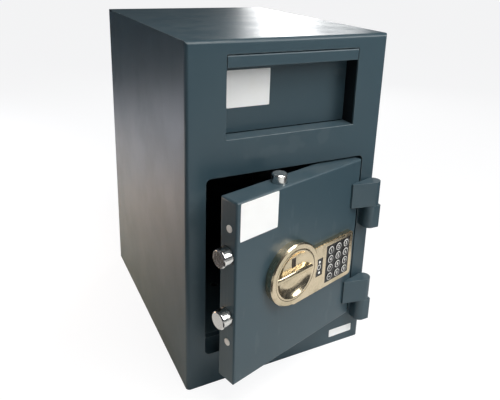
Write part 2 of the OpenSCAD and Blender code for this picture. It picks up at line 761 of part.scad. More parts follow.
// Knob with its bowl, the grip bar across it and the override key slot in the upper pocket
module knob() color(GOLD) on_door() difference() {
    floor_y = bowl_d - ring_h;
    union() {
        difference() {
            bar_y(knob_x, knob_z, -ring_h, knob_back, knob_r);
            cone_y(knob_x, knob_z, -ring_h - past, floor_y, bowl_r + past, bowl_floor_r);
        }
        intersection() {
            bar_y(knob_x, knob_z, -ring_h, floor_y + past, bowl_r + 1);
            union() {
                bar_x(grip_y, knob_z, knob_x - knob_r, knob_x + knob_r, grip_w / 2);
                block(knob_x - knob_r, knob_x + knob_r, grip_y, floor_y + past, knob_z - grip_w / 2,
                    knob_z + grip_w / 2);
            }
        }
    }
    bar_y(knob_x, knob_z, knob_back - 1.7, past, spindle_r + running);
    block(key_slot_x - key_slot_w / 2, key_slot_x + key_slot_w / 2, floor_y - past, floor_y + 1.5,
        knob_z + grip_w / 2 + 2, knob_z + grip_w / 2 + 2 + key_slot_h);
}
module spindle() color(STEEL) on_door() bar_y(knob_x, knob_z, knob_back - 1.4, cam_y + cam_t, spindle_r);
module spindle_bush() color(STEEL) on_door() difference() {
    union() {
        bar_y(knob_x, knob_z, -housing_floor, door_t, bush_r);
        bar_y(knob_x, knob_z, door_t, door_t + bush_flange_t, bush_flange_r);
    }
    bar_y(knob_x, knob_z, -housing_floor - past, door_t + bush_flange_t + past, spindle_r + running);
}
// Cam disc: one pin drives the bolt carriage, the other the top link, and a notch takes the plunger
module cam() color(STEEL) on_door() {
    difference() {
        bar_y(knob_x, knob_z, cam_y, cam_y + cam_t, cam_r);
        bar_y(knob_x, knob_z, cam_y - past, cam_y + cam_t + past, spindle_r + running);
        block(knob_x - plunger_r - slack, knob_x + plunger_r + slack, cam_y - past, cam_y + cam_t + past,
            knob_z - cam_r - past, knob_z - cam_r + notch_d);
    }
    bar_y(crank_x, knob_z + crank_r * cos(half_turn), web_y - 0.5, cam_y, crank_pin_r);
    bar_y(knob_x + link_r * cos(half_turn), link_pin_z, cam_y + cam_t, link_back + 0.5, link_pin_r);
}

// Side bolts and the carriage that moves them
module side_bolts() color(STEEL) on_door() for (z = bolt_heights) {
    tip = door_x0 - side_throw;
    bar_x(bolt_depth, z, tip + bolt_chamfer, carriage_x, side_bolt_r);
    translate([tip, bolt_depth, z]) rotate([0, 90, 0])
        cylinder(h = bolt_chamfer, r1 = side_bolt_r - bolt_chamfer, r2 = side_bolt_r);
}
module bolt_carriage() color(STEEL) on_door() difference() {
    low = bolt_heights[0] - carriage_reach;
    high = bolt_heights[1] + carriage_reach;
    union() {
        block(carriage_x, carriage_x + web_t, web_y, bolt_depth + side_bolt_r - 3, low, high);
        into(web_y, web_y + web_t) {
            rect(carriage_x, web_end, low, high);
            rect(web_end - past, crank_x + crank_pin_r + 5, arm_z0, arm_z1);
        }
    }
    into(web_y - past, web_y + web_t + past) {
        rect(crank_x - crank_pin_r - slack, crank_x + crank_pin_r + slack, arm_z0 - past, arm_z1 - 1.5);
        for (z = carriage_stud_heights)
            rect(carriage_stud_x - side_travel - stud_r, carriage_stud_x + stud_r, z - stud_r, z + stud_r);
    }
}
// Headed studs on the door pan that guide the carriage and the link
module guide_studs() color(STEEL) on_door() {
    for (z = carriage_stud_heights) stud(carriage_stud_x, z, web_y + web_t + 0.5);
    stud(top_bolt_x, link_stud_z, link_back + 0.5);
}
module stud(x, z, head_y) {
    bar_y(x, z, door_t, head_y, stud_r - seat_gap);
    bar_y(x, z, head_y, head_y + stud_head_t, stud_head_r);
}

// Top bolt and the link that moves it
module top_bolt() color(STEEL) on_door() {
    tip = door_z1 + top_throw;
    bar_z(top_bolt_x, bolt_depth, link_top, tip - bolt_chamfer, top_bolt_r);
    translate([top_bolt_x, bolt_depth, tip - bolt_chamfer])
        cylinder(h = bolt_chamfer, r1 = top_bolt_r, r2 = top_bolt_r - bolt_chamfer);
}
module top_link() color(STEEL) on_door() difference() {
    arm_half = link_pin_r + 3;
    x0 = top_bolt_x - link_half;
    x1 = top_bolt_x + link_half;
    union() {
        block(x0, x1, bolt_depth - 6, link_back, link_top - web_t, link_top);
        into(link_y, link_back) {
            rect(x0, x1, link_pin_z - arm_half, link_top);
            rect(x0, knob_x + link_r + link_pin_r + 4, link_pin_z - arm_half, link_pin_z + arm_half);
        }
    }
    into(link_y - past, link_back + past) {
        rect(knob_x + link_r * cos(half_turn) - link_pin_r - 1, knob_x + link_r + link_pin_r + 1,
            link_pin_z - link_pin_r - slack, link_pin_z + link_pin_r + slack);
        rect(top_bolt_x - stud_r, top_bolt_x + stud_r,
            link_stud_z - stud_r, link_stud_z + stud_r + top_travel);
    }
}

// Electric parts inside the door
module battery_case() color(BLACK) on_door() difference() {
    block(case_x0, case_x0 + case_w, case_y0, door_d, case_z0, case_z0 + case_h);
    block(case_x0 + case_wall, case_x0 + case_w - case_wall, case_y0 + case_wall, door_d + past,
        case_z0 + case_wall, case_z0 + case_h - case_wall);
}
module batteries() color(STEEL) on_door() for (i = [0 : cells - 1]) {
    x = case_x0 + case_wall + seat_gap + cell_r + i * cell_pitch;
    y = case_y0 + case_wall + seat_gap + cell_r;
    z0 = case_z0 + case_wall + seat_gap;
    nub_h = 1;
    bar_z(x, y, z0, z0 + cell_len - nub_h, cell_r);
    bar_z(x, y, z0 + cell_len - nub_h, z0 + cell_len, cell_r / 3);
}
module battery_lid() color(BLACK) on_door() {
    into(door_back, door_back + lid_t) round_rect(case_x0 - lid_over, case_x0 + case_w + lid_over,
        case_z0 - lid_over, case_z0 + case_h + lid_over, lid_over);
    rib_x1 = case_x0 + case_w - rib_in;
    for (i = [0 : grip_ribs - 1]) translate([0, 0, i * rib_pitch])
        block(rib_x1 - rib_len, rib_x1, door_back + lid_t, door_back + lid_t + rib_h, rib_z, rib_z + rib_w);
}
module solenoid() color(STEEL) on_door() difference() {
    block(knob_x - solenoid_half, knob_x + solenoid_half, door_t, plunger_y + solenoid_half,
        solenoid_top - solenoid_h, solenoid_top);
    bar_z(knob_x, plunger_y, solenoid_top - solenoid_h / 2, solenoid_top + past, plunger_r + running);
}
module solenoid_plunger() color(STEEL) on_door()
    bar_z(knob_x, plunger_y, solenoid_top - solenoid_h / 2 + seat_gap, plunger_top, plunger_r);
module reset_switch() color(BLACK) on_door() difference() {
    side = reset_r + reset_collar + seat_gap + reset_wall;
    block(reset_x - side, reset_x + side, reset_y0, door_d, reset_z - side, reset_z + side);
    bar_y(reset_x, reset_z, reset_y0 + reset_wall, door_d + past, reset_r + reset_collar + seat_gap);
}
module reset_button() color(RED) on_door() {
    back = door_d - seat_gap;
    bar_y(reset_x, reset_z, back - reset_collar_t, back, reset_r + reset_collar);
    bar_y(reset_x, reset_z, back, door_back + reset_out, reset_r);
}

front_frame();
side_left();
side_right();
top_plate();
back_plate();
base_plate();
jamb_left();
jamb_right();
jamb_head();
jamb_sill();
chute_left();
chute_right();
chute_floor();
fishing_guard();
guard_comb();
knuckle_upper();
knuckle_lower();
hinge_pins();
hopper_front();
hopper_cheeks();
hopper_tray();
hopper_rod();
door_pan();
door_cover();
cover_screws();
side_caps();
leaf_upper();
leaf_lower();
lock_housing();
keypad_frame();
indicator_window();
keypad_board();
spindle_bush();
guide_studs();
battery_case();
battery_lid();
batteries();
solenoid();
solenoid_plunger();
reset_switch();
reset_button();
knob();
spindle();
cam();
side_bolts();
bolt_carriage();
top_bolt();
top_link();
key_1();
key_2();
key_3();
key_4();
key_5();
key_6();
key_7();
key_8();
key_9();
key_left();
key_0();
key_right();
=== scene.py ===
"""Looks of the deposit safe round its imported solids: finishes, printed marks, labels, floor, light and camera."""
import json
import logging
import math
from dataclasses import dataclass
from enum import Enum
from functools import cached_property

import bmesh
import bpy
from mathutils import Matrix, Vector

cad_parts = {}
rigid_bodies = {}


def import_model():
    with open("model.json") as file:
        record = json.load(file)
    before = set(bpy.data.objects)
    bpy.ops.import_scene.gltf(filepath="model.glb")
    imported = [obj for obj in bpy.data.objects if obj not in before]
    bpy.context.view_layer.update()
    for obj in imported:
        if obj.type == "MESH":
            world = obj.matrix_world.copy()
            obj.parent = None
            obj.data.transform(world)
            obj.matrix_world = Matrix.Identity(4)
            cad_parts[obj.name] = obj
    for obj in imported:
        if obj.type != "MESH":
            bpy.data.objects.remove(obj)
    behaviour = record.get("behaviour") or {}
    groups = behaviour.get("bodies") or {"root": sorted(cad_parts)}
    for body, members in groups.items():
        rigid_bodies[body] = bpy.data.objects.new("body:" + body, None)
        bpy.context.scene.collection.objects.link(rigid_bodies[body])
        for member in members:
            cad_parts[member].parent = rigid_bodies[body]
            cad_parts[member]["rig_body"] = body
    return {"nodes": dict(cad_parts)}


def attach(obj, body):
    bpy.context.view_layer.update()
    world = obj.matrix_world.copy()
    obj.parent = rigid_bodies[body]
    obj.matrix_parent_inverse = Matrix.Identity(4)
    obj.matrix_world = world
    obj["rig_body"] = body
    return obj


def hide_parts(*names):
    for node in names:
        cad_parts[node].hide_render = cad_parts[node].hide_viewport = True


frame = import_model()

LOG = logging.getLogger("deposit_safe")

MM = 0.001
NEAR = 0.02 * MM
WELD = 0.002 * MM
SLIVER = 0.0001 * MM
FLAT = math.radians(0.4)
SHARP = math.radians(32)
FRONT_Y = -0.2
PIN = Vector((0.142, -0.2105, 0.0))
AJAR = math.radians(16)
ON_DOOR = Matrix.Translation(PIN) @ Matrix.Rotation(AJAR, 4, "Z") @ Matrix.Translation(-PIN)
ACROSS_DOOR = ON_DOOR.to_3x3() @ Vector((1.0, 0.0, 0.0))
INTO_DOOR = ON_DOOR.to_3x3() @ Vector((0.0, 1.0, 0.0))
KNOB_CENTRE = (-21.5, 189.5)

Colour = tuple[float, float, float]
Point = tuple[float, float, float]
Pair = tuple[float, float]
Plane = tuple[int, float]
Turned = tuple[Vector, Vector, float]
Faces = list[tuple[int, ...]]
Piece = bpy.types.Object
Socket = bpy.types.NodeSocket


class Slot(Enum):
    """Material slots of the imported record."""

    PAINT = "body_paint"
    BRIGHT = "bright_steel"
    ZINC = "zinc_steel"
    CHAMPAGNE = "champagne_zinc"
    WHITE = "white_plastic"
    BLACK = "black_plastic"
    KEY = "key_black"
    BOARD = "green_board"
    SLEEVE = "cell_sleeve"
    RED = "red_plastic"


@dataclass(frozen=True)
class Coat:
    """A finish as a piece takes it: its slot in the record and its material."""

    slot: Slot
    material: bpy.types.Material


def place(x: float, y: float, z: float, door: bool = False) -> Vector:
    """Turns a point given by its depth behind the front face into the frame.

    Args:
        x: Millimetres to the right of the centre.
        y: Millimetres behind the front face of the body.
        z: Millimetres above the floor.
        door: True for a point given on the closed door.

    Returns:
        The point in metres, turned with the door if it lies on it.
    """
    point = Vector((x * MM, y * MM + FRONT_Y, z * MM))
    return ON_DOOR @ point if door else point


def put(name: str, data: bpy.types.ID) -> Piece:
    """Puts a new object into the scene and returns it."""
    bpy.context.scene.collection.objects.link(piece := bpy.data.objects.new(name, data))
    return piece


def mesh_piece(name: str, points: list[Vector], faces: Faces) -> Piece:
    """Makes a mesh object at the origin, with its normals outward.

    Args:
        name: Name of the piece.
        points: Corners in the frame, in metres.
        faces: Corner numbers of each face.

    Returns:
        The new object.
    """
    mesh = bpy.data.meshes.new(name)
    mesh.from_pydata([tuple(p) for p in points], [], faces)
    work = bmesh.new()
    work.from_mesh(mesh)
    bmesh.ops.remove_doubles(work, verts=work.verts, dist=SLIVER)
    bmesh.ops.recalc_face_normals(work, faces=work.faces)
    work.to_mesh(mesh)
    work.free()
    return put(name, mesh)


def outline(x: float, z: float, size: Pair, radius: float, steps: int = 8) -> list[Pair]:
    """Points round a rectangle with round corners, or round a circle where the radius is half the size.

    Args:
        x: Centre to the right, in millimetres.
        z: Centre above the floor, in millimetres.
        size: Width and height.
        radius: Corner radius.
        steps: Steps round each corner.

    Returns:
        The points in order.
    """
    points = []
    for corner in range(4):
        cx = (size[0] / 2 - radius) * (1 if corner in (0, 3) else -1)
        cz = (size[1] / 2 - radius) * (1 if corner < 2 else -1)
        for step in range(steps):
            turn = math.pi / 2 * (corner + (step + 0.5) / steps)
            points.append((x + cx + radius * math.cos(turn), z + cz + radius * math.sin(turn)))
    return points


def circle(x: float, z: float, radius: float, squeeze: float = 1.0, sides: int = 48) -> list[Pair]:
    """Points round a circle or an upright oval."""
    turns = [2 * math.pi * i / sides for i in range(sides)]
    return [(x + squeeze * radius * math.cos(t), z + radius * math.sin(t)) for t in turns]


def bands(rows: int, count: int, around: bool = False) -> Faces:
    """Faces between rings of corners that follow each other.

    Args:
        rows: Number of rings.
        count: Corners in each ring.
        around: True to join the last ring to the first.

    Returns:
        The faces, each with four corners.
    """
    faces = []
    for row in range(rows if around else rows - 1):
        a, b = row * count, (row + 1) % rows * count
        faces += [(a + i, a + (i + 1) % count, b + (i + 1) % count, b + i) for i in range(count)]
    return faces


def loft(name: str, rings: list[tuple[list[Pair], float]], door: bool = True, hollow: bool = False) -> Piece:
    """Joins outlines at several depths into one closed shape.

    Args:
        name: Name of the piece.
        rings: Each outline with its depth behind the front face.
        door: True for a shape on the closed door.
        hollow: True to join the last outline to the first instead of closing both ends.

    Returns:
        The new piece.
    """
    count = len(rings[0][0])
    points = [place(x, depth, z, door) for ring, depth in rings for x, z in ring]
    faces = bands(len(rings), count, hollow)
    if not hollow:
        faces += [tuple(range(count)), tuple(range(len(points) - count, len(points)))]
    return mesh_piece(name, points, faces)


def round_arcs(points: list[Vector], faces: Faces, turned: Turned, parts: int = 4) -> Faces:
    """Splits the coarse arcs about an axis and sets the new corners on the true circle.

    Args:
        points: The corners of a mesh, which take the new ones at their end.
        faces: Its faces.
        turned: A point on the axis, its direction and the largest radius that counts.
        parts: Edges that one edge of an arc becomes.

    Returns:
        The faces with the new corners, the walls between two arcs split in strips.
    """
    centre, axis, limit = turned
    depths = [(point - centre).dot(axis) for point in points]
    radii = [(point - centre - depth * axis).length for point, depth in zip(points, depths)]
    inner: dict[tuple[int, int], list[int]] = {}

    def chain(a: int, b: int) -> list[int]:
        """The new corners on the way from one corner to the next.

        Args:
            a: Number of the first corner.
            b: Number of the next corner.

        Returns:
            The numbers of the new corners, in order.
        """
        low, high = min(a, b), max(a, b)
        if (low, high) not in inner:
            inner[low, high] = []
            on_arc = abs(radii[a] - radii[b]) < NEAR and abs(depths[a] - depths[b]) < NEAR
            if on_arc and limit / 2 < radii[a] < limit and (points[a] - points[b]).length < radii[a] / 2:
                foot = centre + depths[low] * axis
                for part in range(1, parts):
                    between = points[low].lerp(points[high], part / parts) - foot
                    inner[low, high].append(len(points))
                    points.append(foot + between.normalized() * radii[low])
        return inner[low, high] if a == low else inner[low, high][::-1]

    result = []
    for face in faces:
        chains = [chain(a, b) for a, b in zip(face, face[1:] + face[:1])]
        for first in (0, 1):
            if len(face) == 4 and chains[first] and chains[first + 2] and not chains[1 - first]:
                a, b, c, d = face[first:] + face[:first]
                near_side = [a, *chains[first], b]
                far_side = [c, *chains[first + 2], d][::-1]
                result += [(near_side[i], near_side[i + 1], far_side[i + 1], far_side[i]) for i in range(parts)]
                break
        else:
            result.append(tuple(i for corner, new in zip(face, chains) for i in (corner, *new)))
    return result


def smooth(mesh: bpy.types.Mesh, angle: float) -> None:
    """Shades a mesh smooth up to an angle."""
    mesh.polygons.foreach_set("use_smooth", [True] * len(mesh.polygons))
    mesh.set_sharp_from_angle(angle=angle)


def baked(piece: Piece) -> bpy.types.Mesh:
    """Makes a plain mesh of an object as its modifiers or its text leave it.

    Args:
        piece: The object.

    Returns:
        The new mesh.
    """
    graph = bpy.context.evaluated_depsgraph_get()
    graph.update()
    return bpy.data.meshes.new_from_object(piece.evaluated_get(graph), depsgraph=graph)


def settle(piece: Piece) -> None:
    """Applies every modifier of a piece and leaves a plain mesh."""
    piece.data = baked(piece)
    piece.modifiers.clear()


def finish_piece(piece: Piece, body: str, coat: Coat, angle: float = 0.0) -> None:
    """Gives a piece its material and the body that it rides on.

    Args:
        piece: The finished object.
        body: Name of the body in the frame.
        coat: The coat to show.
        angle: Degrees up to which its faces are shaded smooth, or 0 to leave them.
    """
    if angle:
        smooth(piece.data, math.radians(angle))
    piece.data.materials.clear()
    piece.data.materials.append(coat.material)
    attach(piece, body)
    LOG.info("%s rides on %s", piece.name, body)


class Graph:
    """Adds nodes to one node tree."""

    def __init__(self, tree: bpy.types.NodeTree) -> None:
        """Keeps the tree that the nodes go into."""
        self.tree = tree

    @cached_property
    def where(self) -> Socket:
        """Object coordinates, from one node for the whole tree."""
        return self.add("ShaderNodeTexCoord").outputs["Object"]

    def feed(self, node: bpy.types.Node, inputs: dict) -> bpy.types.Node:
        """Links or sets inputs of a node.

        Args:
            node: The node.
            inputs: Value or source socket of each input, by the input's name or number.

        Returns:
            The same node.
        """
        for key, value in inputs.items():
            if isinstance(value, Socket):
                self.tree.links.new(value, node.inputs[key])
            else:
                node.inputs[key].default_value = value
        return node

    def add(self, kind: str, inputs: dict | None = None, **options: object) -> bpy.types.Node:
        """Adds one node.

        Args:
            kind: Blender's name of the node type.
            inputs: Value or source socket of each input.
            options: Properties of the node.

        Returns:
            The new node.
        """
        node = self.tree.nodes.new(kind)
        for key, value in options.items():
            setattr(node, key, value)
        return self.feed(node, inputs or {})

    def math(self, operation: str, *values: object, clamp: bool = False) -> Socket:
        """Adds a Math node on numbers or sources and returns its output."""
        return self.add("ShaderNodeMath", dict(enumerate(values)), operation=operation, use_clamp=clamp).outputs[0]

    def times(self, first: object, second: object, clamp: bool = False) -> Socket:
        """Multiplies two values, kept from 0 to 1 if clamp is set."""
        return self.math("MULTIPLY", first, second, clamp=clamp)

    def total(self, start: object, *parts: tuple[object, object]) -> Socket:
        """Adds weighted values to a start.

        Args:
            start: Number or source that the sum starts from.
            parts: Each value with its share.

        Returns:
            The sum's socket.
        """
        for value, share in parts:
            start = self.math("MULTIPLY_ADD", value, share, start)
        return start

    def ramp(self, value: Socket, low: float, high: float, kind: str = "SMOOTHSTEP") -> Socket:
        """Maps a value from low..high to 0..1."""
        inputs = {"Value": value, "From Min": low, "From Max": high}
        return self.add("ShaderNodeMapRange", inputs, interpolation_type=kind).outputs["Result"]

    def mix(self, base: object, *layers: tuple[object, object]) -> Socket:
        """Lays colours over a base colour.

        Args:
            base: Colour or source below.
            layers: Share and colour of each layer, from the lowest up.

        Returns:
            The mixed colour's socket.
        """
        for share, colour in layers:
            inputs = {0: share, 6: with_alpha(base), 7: with_alpha(colour)}
            base = self.add("ShaderNodeMix", inputs, data_type="RGBA").outputs[2]
        return base

    def noise(self, scale: object, detail: float = 2.0, roughness: float = 0.5, at: Socket | None = None) -> Socket:
        """Adds a noise with a scale in repeats to the metre and returns its value, from 0 to 1."""
        inputs = {"Vector": at or self.where, "Scale": scale, "Detail": detail, "Roughness": roughness}
        return self.add("ShaderNodeTexNoise", inputs).outputs["Fac"]

    def mapped(self, rotation: Point, scale: Point = (1.0, 1.0, 1.0)) -> Socket:
        """Turns and stretches the object coordinates."""
        inputs = {"Vector": self.where, "Rotation": rotation, "Scale": scale}
        return self.add("ShaderNodeMapping", inputs).outputs[0]

    def vector(self, operation: str, inputs: dict) -> bpy.types.NodeOutputs:
        """Adds a Vector Math node and returns its outputs."""
        return self.add("ShaderNodeVectorMath", inputs, operation=operation).outputs

    def bump(self, height: Socket, depth: float, strength: float) -> Socket:
        """Adds a bump with its depth in metres and returns the normal."""
        return self.add("ShaderNodeBump", {"Strength": strength, "Distance": depth, "Height": height}).outputs[0]

    def effect(self, name: str, **inputs: object) -> bpy.types.NodeOutputs:
        """Places a shared group with its values and returns its outputs."""
        return self.add("ShaderNodeGroup", inputs, node_tree=bpy.data.node_groups[name]).outputs

    def drift(self, colour: object, amount: float, scale: float) -> Socket:
        """Adds a colour that drifts over the surface."""
        return self.effect("colour_drift", Colour=with_alpha(colour), Amount=amount, Scale=scale)["Colour"]

    def wear_and_highlight(self, amount: float, scale: float) -> Socket:
        """Adds the mask of rubbed edges, with a painted highlight share on every softened edge."""
        return self.effect("edge_wear", Amount=amount, Scale=scale)["Mask"]

    def scratches(self, amount: float, scale: float) -> Socket:
        """Adds the mask of fine scratches."""
        return self.effect("scratches", Amount=amount, Scale=scale)["Mask"]


def with_alpha(colour: object) -> object:
    """A colour with its alpha for a socket, or a source as it is."""
    return colour if isinstance(colour, Socket) else (*colour, 1.0)


def new_material(name: str) -> tuple[bpy.types.Material, Graph, bpy.types.Node]:
    """Starts a material with a plain shader.

    Args:
        name: Name of the material.

    Returns:
        The material, its graph and its shader node.
    """
    material = bpy.data.materials.new(name)
    material.use_nodes = True
    return material, Graph(material.node_tree), material.node_tree.nodes["Principled BSDF"]


class Effects:
    """Shader node groups that several finishes share, each placed by its name."""

    kinds = {"Colour": "NodeSocketColor", "Centre": "NodeSocketVector", "Axis": "NodeSocketVector"}

    def start(self, name: str, **inputs: object) -> tuple[Graph, dict[str, Socket]]:
        """Starts a group with named inputs.

        Args:
            name: Name of the group.
            inputs: Starting value of each input.

        Returns:
            The group's graph and its input sockets by name.
        """
        tree = bpy.data.node_groups.new(name, "ShaderNodeTree")
        for label, value in inputs.items():
            kind = self.kinds.get(label, "NodeSocketFloat")
            tree.interface.new_socket(label, in_out="INPUT", socket_type=kind).default_value = value
        graph = Graph(tree)
        return graph, {s.name: s for s in graph.add("NodeGroupInput").outputs if s.name}

    def end(self, graph: Graph, **outputs: Socket) -> None:
        """Ends a group with named outputs.

        Args:
            graph: The group's graph.
            outputs: Source of each output.
        """
        for label in outputs:
            kind = self.kinds.get(label, "NodeSocketFloat")
            graph.tree.interface.new_socket(label, in_out="OUTPUT", socket_type=kind)
        graph.add("NodeGroupOutput", outputs)

    def build(self) -> None:
        """Builds each group once."""
        for make in (self.peel, self.drift, self.wear_and_highlight, self.dust, self.scratches, self.turning):
            make()

    def peel(self) -> None:
        """Orange peel of a sprayed coat, with the slow waves of the sheet under it."""
        g, at = self.start("orange_peel", Peel=620.0, Grain=2600.0, Wave=9.0, Depth=1.0)
        peel, grain, wave = (g.noise(at[label], 1.0) for label in ("Peel", "Grain", "Wave"))
        self.end(g, Height=g.total(peel, (grain, 0.35), (wave, at["Depth"])))

    def drift(self) -> None:
        """Slow change of a colour over a surface."""
        g, at = self.start("colour_drift", Colour=(0.5, 0.5, 0.5, 1.0), Amount=0.2, Scale=14.0)
        slow = g.noise(at["Scale"], 3.0, 0.55)
        swing = g.times(g.math("SUBTRACT", slow, 0.5), at["Amount"])
        self.end(g, Colour=g.vector("SCALE", {0: at["Colour"], "Scale": g.total(1.0, (swing, 2.0))})[0])

    def wear_and_highlight(self) -> None:
        """Masks of rubbed and chipped edges, read from the edge attribute of a dressed piece; the Mask also gives
        every softened edge a quarter share, a painted edge highlight wherever a lighter colour goes on.
        """
        g, at = self.start("edge_wear", Amount=0.5, Scale=90.0)
        edge = g.add("ShaderNodeAttribute", attribute_name="edge").outputs["Fac"]
        patch = g.ramp(g.noise(at["Scale"], 4.0, 0.6), 0.35, 0.75)
        rubbed = g.times(edge, g.times(patch, at["Amount"]))
        chips = g.ramp(g.noise(g.times(at["Scale"], 3.0)), 0.66, 0.72)
        self.end(g, Mask=g.math("MULTIPLY_ADD", edge, 0.25, rubbed, clamp=True), Chips=g.times(chips, rubbed, True))

    def dust(self) -> None:
        """Mask of fine dust on the faces that look up."""
        g, at = self.start("dust", Amount=0.2)
        up = g.add("ShaderNodeSeparateXYZ", {0: g.add("ShaderNodeNewGeometry").outputs["Normal"]}).outputs["Z"]
        cloud = g.ramp(g.noise(26.0, 5.0, 0.65), 0.3, 0.8)
        specks = g.ramp(g.noise(900.0, 1.0), 0.62, 0.8)
        lying = g.times(g.ramp(up, 0.2, 0.95), g.total(cloud, (specks, 0.5)))
        self.end(g, Mask=g.times(lying, at["Amount"], True))

    def scratches(self) -> None:
        """Mask of fine crossing scratches."""
        g, at = self.start("scratches", Amount=0.3, Scale=60.0)
        ways = [g.mapped(turn, (1.0, 14.0, 1.0)) for turn in ((0.3, 0.9, 0.4), (1.2, -0.5, 2.1))]
        lines = [g.ramp(g.noise(at["Scale"], 2.0, 0.4, way), 0.66, 0.72) for way in ways]
        self.end(g, Mask=g.times(g.math("MAXIMUM", *lines), at["Amount"], True))

    def turning(self) -> None:
        """Fine rings that a lathe leaves round an axis."""
        g, at = self.start("turning", Centre=(0.0, 0.0, 0.0), Axis=(0.0, 0.0, 1.0), Pitch=0.0006)
        arm = g.vector("SUBTRACT", {0: g.where, 1: at["Centre"]})[0]
        cross = g.vector("CROSS_PRODUCT", {0: arm, 1: at["Axis"]})[0]
        radius = g.vector("LENGTH", {0: cross})["Value"]
        step = g.math("DIVIDE", radius, at["Pitch"])
        rings = g.add("ShaderNodeTexNoise", {"W": step, "Scale": 1.0, "Detail": 2.0}, noise_dimensions="1D")
        self.end(g, Height=rings.outputs["Fac"], Radius=radius)


class Finish:
    """Common work of every finish: its look method gives the source of each input of the shader."""

    name: str

    def build(self, slot: Slot) -> Coat:
        """Builds the material.

        Args:
            slot: Material slot of the record that the finish stands for.

        Returns:
            The coat.
        """
        material, graph, shader = new_material(self.name)
        graph.feed(shader, self.look(graph))
        return Coat(slot, material)


@dataclass(frozen=True)
class PowderCoat(Finish):
    """Satin blue grey powder coat on the sheet metal."""

    name: str = "powder_coat"
    colour: Colour = (0.035, 0.067, 0.087)
    # Lighter tone on the softened edges and the scratches: worn paint, and on every edge also a painted edge
    # highlight.
    rubbed: Colour = (0.19, 0.23, 0.25)
    primer: Colour = (0.42, 0.43, 0.42)
    dust_colour: Colour = (0.34, 0.33, 0.31)
    gloss: float = 0.34
    peel_depth: float = 0.00005
    dust: float = 0.10
    specular: float = 0.5

    def look(self, g: Graph) -> dict[str, object]:
        """Paint with chipped edges, dust, patches where hands rubbed it, and a painted highlight on every softened
        edge.

        Args:
            g: Graph of the material.

        Returns:
            The shader's inputs by name.
        """
        # Edge mask: rubbed and chipped paint, with a painted highlight share on every softened edge.
        wear_and_highlight = g.effect("edge_wear", Amount=0.55, Scale=70.0)
        dust = g.effect("dust", Amount=self.dust)["Mask"]
        marks = g.times(g.scratches(amount=0.18, scale=22.0), 0.35)
        base = g.mix(g.drift(self.colour, amount=0.10, scale=7.0), (wear_and_highlight["Mask"], self.rubbed),
                     (wear_and_highlight["Chips"], self.primer), (marks, self.rubbed), (dust, self.dust_colour))
        hands = g.ramp(g.noise(11.0, 4.0, 0.6), 0.35, 0.75)
        height = g.effect("orange_peel", Depth=7.0)["Height"]
        return {"Base Color": base, "Roughness": g.total(self.gloss, (hands, 0.07), (dust, 0.6)),
                "Normal": g.bump(height, self.peel_depth, 1.0), "Specular IOR Level": self.specular}


@dataclass(frozen=True)
class TurnedSteel(Finish):
    """Bright plated steel, turned on a lathe."""

    name: str
    axis: Vector
    centres: tuple[Vector, ...]
    colour: Colour = (0.70, 0.70, 0.69)
    rubbed: Colour = (0.84, 0.84, 0.82)
    pitch: float = 0.00045
    gloss: float = 0.16

    def look(self, g: Graph) -> dict[str, object]:
        """Steel with the rings of the nearest axis.

        Args:
            g: Graph of the material.

        Returns:
            The shader's inputs by name.
        """
        height = near = None
        for centre in self.centres:
            rings = g.effect("turning", Centre=centre, Axis=self.axis, Pitch=self.pitch)
            if near is None:
                height, near = rings["Height"], rings["Radius"]
            else:
                closer = g.math("LESS_THAN", rings["Radius"], near)
                inputs = {0: closer, 2: height, 3: rings["Height"]}
                height = g.add("ShaderNodeMix", inputs, data_type="FLOAT").outputs[0]
                near = g.math("MINIMUM", near, rings["Radius"])
        base = g.mix(g.drift(self.colour, amount=0.10, scale=60.0), (g.wear_and_highlight(amount=0.6, scale=260.0), self.rubbed))
        rough = g.total(self.gloss, (height, 0.10), (g.scratches(amount=0.5, scale=70.0), 0.2))
        return {"Base Color": base, "Metallic": 1.0, "Roughness": rough, "Normal": g.bump(height, 0.00001, 0.6)}


@dataclass(frozen=True)
class PressedZinc(Finish):
    """Dull zinc plate on the pressed parts inside."""

    name: str = "zinc_plate"
    colour: Colour = (0.50, 0.51, 0.51)
    crystal: Colour = (0.72, 0.72, 0.70)
    rubbed: Colour = (0.8, 0.8, 0.78)
    gloss: float = 0.30

    def look(self, g: Graph) -> dict[str, object]:
        """Zinc with its crystal pattern.

        Args:
            g: Graph of the material.

        Returns:
            The shader's inputs by name.
        """
        cells = g.add("ShaderNodeTexVoronoi", {"Vector": g.where, "Scale": 220.0}).outputs["Color"]
        tint = g.add("ShaderNodeSeparateColor", {0: cells}).outputs[0]
        base = g.mix(g.drift(self.colour, amount=0.2, scale=40.0), (g.times(tint, 0.25), self.crystal),
                     (g.wear_and_highlight(amount=0.5, scale=200.0), self.rubbed))
        rough = g.total(self.gloss, (tint, 0.14), (g.scratches(amount=0.6, scale=60.0), 0.2))
        return {"Base Color": base, "Metallic": 0.95, "Roughness": rough, "Normal": g.bump(tint, 0.00002, 0.4)}


